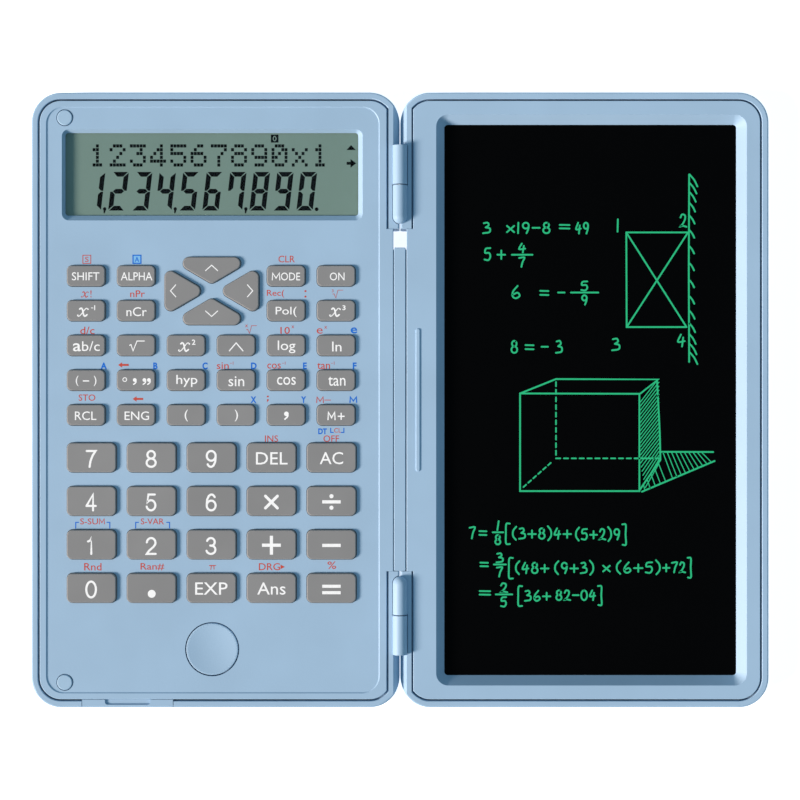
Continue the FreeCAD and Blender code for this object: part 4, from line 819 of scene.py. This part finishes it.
# Handwritten signs as strokes in a box one wide and one high.
SIGNS = {
    "0": (arc(0.5, 0.5, 0.5, 0.5, 100, 445, 12),),
    "1": ([(0.6, 1.0), (0.4, 0.0)],),
    "2": ([(0.05, 0.75), (0.3, 1.0), (0.75, 0.92), (0.75, 0.6), (0.35, 0.2), (0.0, 0.02),
           (0.4, 0.08), (1.0, 0.0)],),
    "3": ([(0.1, 0.95), (0.6, 1.0), (0.75, 0.75), (0.35, 0.55)],
          [(0.35, 0.55), (0.9, 0.45), (0.85, 0.1), (0.0, 0.0)]),
    "4": ([(0.45, 1.0), (0.05, 0.4), (0.95, 0.45)], [(0.75, 0.75), (0.6, 0.0)]),
    "5": ([(0.9, 1.0), (0.2, 0.95), (0.1, 0.6), (0.7, 0.6), (0.9, 0.3), (0.6, 0.0), (0.0, 0.05)],),
    "6": ([(0.7, 1.0), (0.15, 0.55), (0.1, 0.15), (0.5, 0.0), (0.95, 0.2), (0.7, 0.45),
           (0.15, 0.3)],),
    "7": ([(0.0, 0.95), (0.95, 1.0), (0.6, 0.5), (0.4, 0.0)],),
    "8": (arc(0.5, 0.77, 0.36, 0.23, 60, 410, 10), arc(0.5, 0.27, 0.45, 0.27, 100, 450, 10)),
    "9": (arc(0.5, 0.72, 0.42, 0.28, 10, 365, 10), [(0.92, 0.75), (0.85, 0.4), (0.6, 0.0)]),
    "x": ([(0.0, 1.0), (1.0, 0.0)], [(1.0, 1.0), (0.0, 0.0)]),
    "(": ([(1.0, 1.0), (0.15, 0.7), (0.1, 0.3), (0.9, 0.0)],),
    ")": ([(0.0, 1.0), (0.85, 0.7), (0.9, 0.3), (0.1, 0.0)],),
    "[": ([(1.0, 1.0), (0.1, 0.97), (0.0, 0.5), (0.05, 0.03), (1.0, 0.0)],),
    "]": ([(0.0, 1.0), (0.95, 0.97), (0.9, 0.5), (1.0, 0.02), (0.1, 0.0)],),
    "+": ([(0.5, 1.0), (0.5, 0.0)], [(0.0, 0.5), (1.0, 0.5)]),
    "-": ([(0.0, 0.5), (1.0, 0.5)],),
    "=": ([(0.0, 1.0), (1.0, 0.95)], [(0.0, 0.05), (1.0, 0.0)]),
}

# How wide each sign is beside the others, where not 0.8, and how far it reaches below and above.
SIGN_WIDTHS = {"1": 0.2, "(": 0.45, ")": 0.45, "[": 0.5, "]": 0.5, "+": 0.95, "=": 1.0}
SIGN_LIMITS = {"=": (0.3, 0.65), "-": (0.5, 0.52), "+": (0.1, 0.8), "x": (0.1, 0.7),
               "(": (-0.1, 1.15), ")": (-0.15, 1.2), "[": (-0.5, 1.45), "]": (-0.5, 1.45)}


def write(art, text, left, right, low, height, gap=0.35):
    """A run of handwritten signs between two places, on a line, with the height of a digit."""
    widths = [SIGN_WIDTHS.get(sign, 0.8) for sign in text]
    scale = (right - left) / (sum(widths) + gap * (len(text) - 1))
    for sign, width in zip(text, widths):
        foot, head = SIGN_LIMITS.get(sign, (0.0, 1.0))
        for points in SIGNS[sign]:
            art.curve([(left + x * width * scale, low + (foot + (head - foot) * y) * height)
                       for x, y in points], PEN, steps=4)
        left += (width + gap) * scale


def write_fraction(art, over, under, left, right, middle):
    """Two digits with a bar between them."""
    centre = (left + right) / 2
    write(art, over, centre - 0.9, centre + 0.9, middle + 0.6, 2.4)
    write(art, "-", left, right, middle - 1.5, 3.0)
    write(art, under, centre - 0.8, centre + 0.7, middle - 3.2, 2.5)


def make_writing(top):
    """Green sums and sketches on the dark film."""
    art = Ink(top, WRITING, "lid")
    write_upper_sums(art)
    write_lower_sums(art)
    make_square_sketch(art)
    make_wall_sketch(art)
    make_cuboid_sketch(art)
    make_cuboid_hatching(art)
    art.build("tablet_writing")


def write_upper_sums(art):
    """Four short sums in the upper part of the tablet."""
    write(art, "3", 22.2, 24.2, 44.6, 2.8)
    write(art, "x19-8", 28.6, 40.1, 44.6, 2.8)
    write(art, "=", 42.7, 45.3, 45.0, 2.8)
    write(art, "49", 47.0, 50.4, 44.5, 2.9)
    write(art, "5+", 22.6, 28.1, 37.4, 3.2, 0.8)
    write_fraction(art, "4", "7", 29.9, 35.4, 38.8)
    write(art, "6", 29.9, 32.1, 27.2, 3.3)
    write(art, "=-", 37.5, 44.0, 27.1, 3.2, 1.2)
    write_fraction(art, "5", "9", 45.7, 53.0, 28.7)
    write(art, "8=-3", 29.7, 43.4, 12.6, 3.2, 1.0)


def write_lower_sums(art):
    """Three longer sums in the lower part of the tablet."""
    write(art, "7=", 18.6, 23.1, -37.0, 3.0, 0.6)
    write_fraction(art, "1", "8", 24.8, 27.6, -35.4)
    write(art, "[(3+8)4+", 28.3, 45.7, -37.1, 2.8)
    write(art, "(5+2)9]", 47.0, 60.4, -37.3, 2.8)
    write(art, "=", 21.5, 23.5, -45.3, 2.8)
    write_fraction(art, "3", "7", 25.1, 28.3, -44.0)
    write(art, "[(48+", 29.1, 39.7, -46.3, 2.8)
    write(art, "(9+3)", 41.4, 51.7, -46.3, 2.8)
    write(art, "x", 54.3, 56.1, -46.1, 2.6)
    write(art, "(6+5)", 57.9, 69.5, -46.2, 2.8)
    write(art, "+72]", 70.3, 77.8, -46.1, 2.7)
    write(art, "=", 21.3, 24.1, -52.9, 2.8)
    write_fraction(art, "2", "5", 25.6, 30.0, -52.0)
    write(art, "[36+", 31.6, 40.2, -53.7, 2.7)
    write(art, "82-04]", 41.7, 53.9, -53.5, 2.6)


def make_square_sketch(art):
    """A square with both diagonals and a number at each corner."""
    left, right, low, high = 60.5, 77.0, 19.5, 44.8
    art.stroke([(left, high), (right, high)], PEN)
    art.stroke([(left, high), (left + 0.1, low), (right - 0.4, low)], PEN)
    art.stroke([(left, high), (right - 0.4, low)], PEN)
    art.stroke([(left + 0.1, low), (right, high)], PEN)
    write(art, "1", 58.0, 58.4, 45.0, 3.3)
    write(art, "2", 74.9, 76.6, 46.3, 3.3)
    write(art, "3", 56.7, 58.8, 13.3, 3.1)
    write(art, "4", 74.2, 76.2, 14.3, 3.2)


def make_wall_sketch(art):
    """A wall: an upright line with short hatching strokes to its right, closer at its ends."""
    x, high, low, count = 77.3, 60.3, 10.2, 15
    art.stroke([(x, high), (x - 0.1, 35.0), (x, low)], PEN)
    for i in range(count):
        share = i / (count - 1)
        y = high - (high - low - 2.6) * (share - 0.055 * math.sin(2 * math.pi * share))
        across = 1.3 + 0.9 * (2 * share - 1) ** 2
        down = across * 1.45
        art.curve([(x + 0.1, y), (x + across * 0.6, y - down * 0.45), (x + across, y - down)], PEN)


CUBOID_LEFT = 32.1
CUBOID_RIGHT = 64.0
CUBOID_TOP = 1.75
CUBOID_LOW = -24.35
BACK_LEFT = 41.7
BACK_RIGHT = 69.0
BACK_TOP = 5.6
BACK_LOW = -15.6
SIDE_FOOT = (69.6, -16.0)       # where the side's far edge meets the floor
DASHES_END = 62.7
FLOOR_BACK = -13.85


def dash(art, start, end, count):
    """A dashed line with gaps a little shorter than its dashes."""
    start, end = Vector(start), Vector(end)
    step = (end - start) / count
    for i in range(count):
        art.stroke([start + step * i, start + step * (i + 0.55)], PEN * 0.9)


def make_cuboid_sketch(art):
    """A cuboid standing before a floor, its hidden edges dashed."""
    art.stroke([(CUBOID_LEFT, CUBOID_TOP), (CUBOID_RIGHT, CUBOID_TOP - 0.1),
                (CUBOID_RIGHT, CUBOID_LOW), (CUBOID_LEFT, CUBOID_LOW)], PEN, True)
    art.stroke([(CUBOID_LEFT, CUBOID_TOP), (BACK_LEFT, BACK_TOP), (BACK_RIGHT, BACK_TOP - 0.1),
                (CUBOID_RIGHT + 0.3, CUBOID_TOP)], PEN)
    art.curve([(BACK_RIGHT - 0.3, BACK_TOP - 0.3), (BACK_RIGHT + 0.4, -8.0), SIDE_FOOT], PEN)
    art.stroke([SIDE_FOOT, (CUBOID_RIGHT, CUBOID_LOW + 0.2)], PEN)
    dash(art, (BACK_LEFT, BACK_TOP - 0.8), (BACK_LEFT, BACK_LOW), 10)
    dash(art, (BACK_LEFT, BACK_LOW), (DASHES_END, BACK_LOW), 10)
    art.stroke([(DASHES_END, BACK_LOW), (SIDE_FOOT[0], BACK_LOW)], PEN)
    dash(art, (40.3, -16.8), (CUBOID_LEFT + 0.3, -23.8), 6)
    art.stroke([(SIDE_FOOT[0], FLOOR_BACK), (83.7, FLOOR_BACK - 0.05)], PEN)
    art.stroke([(64.7, -24.5), (84.1, -16.3)], PEN)


def floor_edge(x):
    """The height of the floor's slanting front line at a place."""
    return CUBOID_LOW - 0.15 + 0.4227 * (x - CUBOID_RIGHT - 0.7)


def make_cuboid_hatching(art):
    """Thin lines across the cuboid's side and across the floor beside it."""
    rise, near = 1.3, CUBOID_RIGHT + 0.3
    for i in range(22):
        low = CUBOID_LOW + 0.95 + 1.09 * i
        start = near + max(0.0, (BACK_LOW - 1.4 - low) * 0.2)
        reach = min(BACK_RIGHT + 0.2 - near, (BACK_TOP - 0.7 - low) / rise)
        art.stroke([(start, low), (near + reach, low + rise * reach)], THIN_PEN)
    for i in range(10):
        start = BACK_RIGHT + 1.3 + 1.15 * i
        end = start + 2.6
        art.stroke([(start, BACK_LOW + 1.6), (end, floor_edge(end))], THIN_PEN)
    for i in range(5):
        share = 0.1 + 0.18 * i
        x, y = BACK_RIGHT + 0.6 - 5.5 * share, BACK_LOW - 0.4 - 8.1 * share
        end = x + 2.2 * (1 - share)
        art.stroke([(x, y), (end, floor_edge(end))], THIN_PEN)


# ------------------------------------------------------------------ floor, light, camera

def make_floor():
    """A wide sheet just under the object."""
    mesh = bpy.data.meshes.new("floor")
    corners = [(x * FLOOR_REACH, y * FLOOR_REACH, 0)
               for x, y in ((-1, -1), (1, -1), (1, 1), (-1, 1))]
    mesh.from_pydata(corners, [], [(0, 1, 2, 3)])
    mesh.materials.append(FLOOR)
    floor = bpy.data.objects.new("floor", mesh)
    floor.location.z = -FLOOR_DROP
    bpy.context.scene.collection.objects.link(floor)


def make_light():
    """A broad key light from the left and slightly from the front, in a pale room."""
    sun = bpy.data.lights.new("key_light", "SUN")
    sun.energy = 5.5
    sun.angle = math.radians(16)
    sun.color = (1.0, 0.85, 0.75)
    lamp = bpy.data.objects.new("key_light", sun)
    elevation, swing = math.radians(26.5), math.radians(18)
    way = Vector((-math.cos(elevation) * math.cos(swing), -math.cos(elevation) * math.sin(swing),
                  math.sin(elevation)))
    lamp.rotation_mode = "QUATERNION"
    lamp.rotation_quaternion = way.to_track_quat("Z", "Y")
    bpy.context.scene.collection.objects.link(lamp)
    world = bpy.data.worlds.new("room")
    world.use_nodes = True
    room = world.node_tree.nodes["Background"]
    room.inputs["Color"].default_value = (0.5, 0.8, 1.0, 1)
    room.inputs["Strength"].default_value = 0.4
    bpy.context.scene.world = world
    bpy.context.scene.view_settings.view_transform = "Standard"


def make_camera():
    """Straight above, with +Y up in the picture."""
    camera = bpy.data.cameras.new("camera")
    camera.sensor_width = 36.0
    camera.lens = 67.8
    camera.clip_start = 0.01
    camera.clip_end = 100.0
    holder = bpy.data.objects.new("camera", camera)
    holder.location = (0, 0, CAMERA_HEIGHT)
    bpy.context.scene.collection.objects.link(holder)
    bpy.context.scene.camera = holder


dress_nodes()
make_word_keys()
make_function_keys()
make_row_keys()
make_number_keys()
make_operator_keys()
make_cursor_keys()
make_red_legends(FIELD_TOP)
make_blue_legends(FIELD_TOP)
make_display_marks(middle_of("display_panel")[2])
make_writing(middle_of("writing_screen")[2])
make_floor()
make_light()
make_camera()
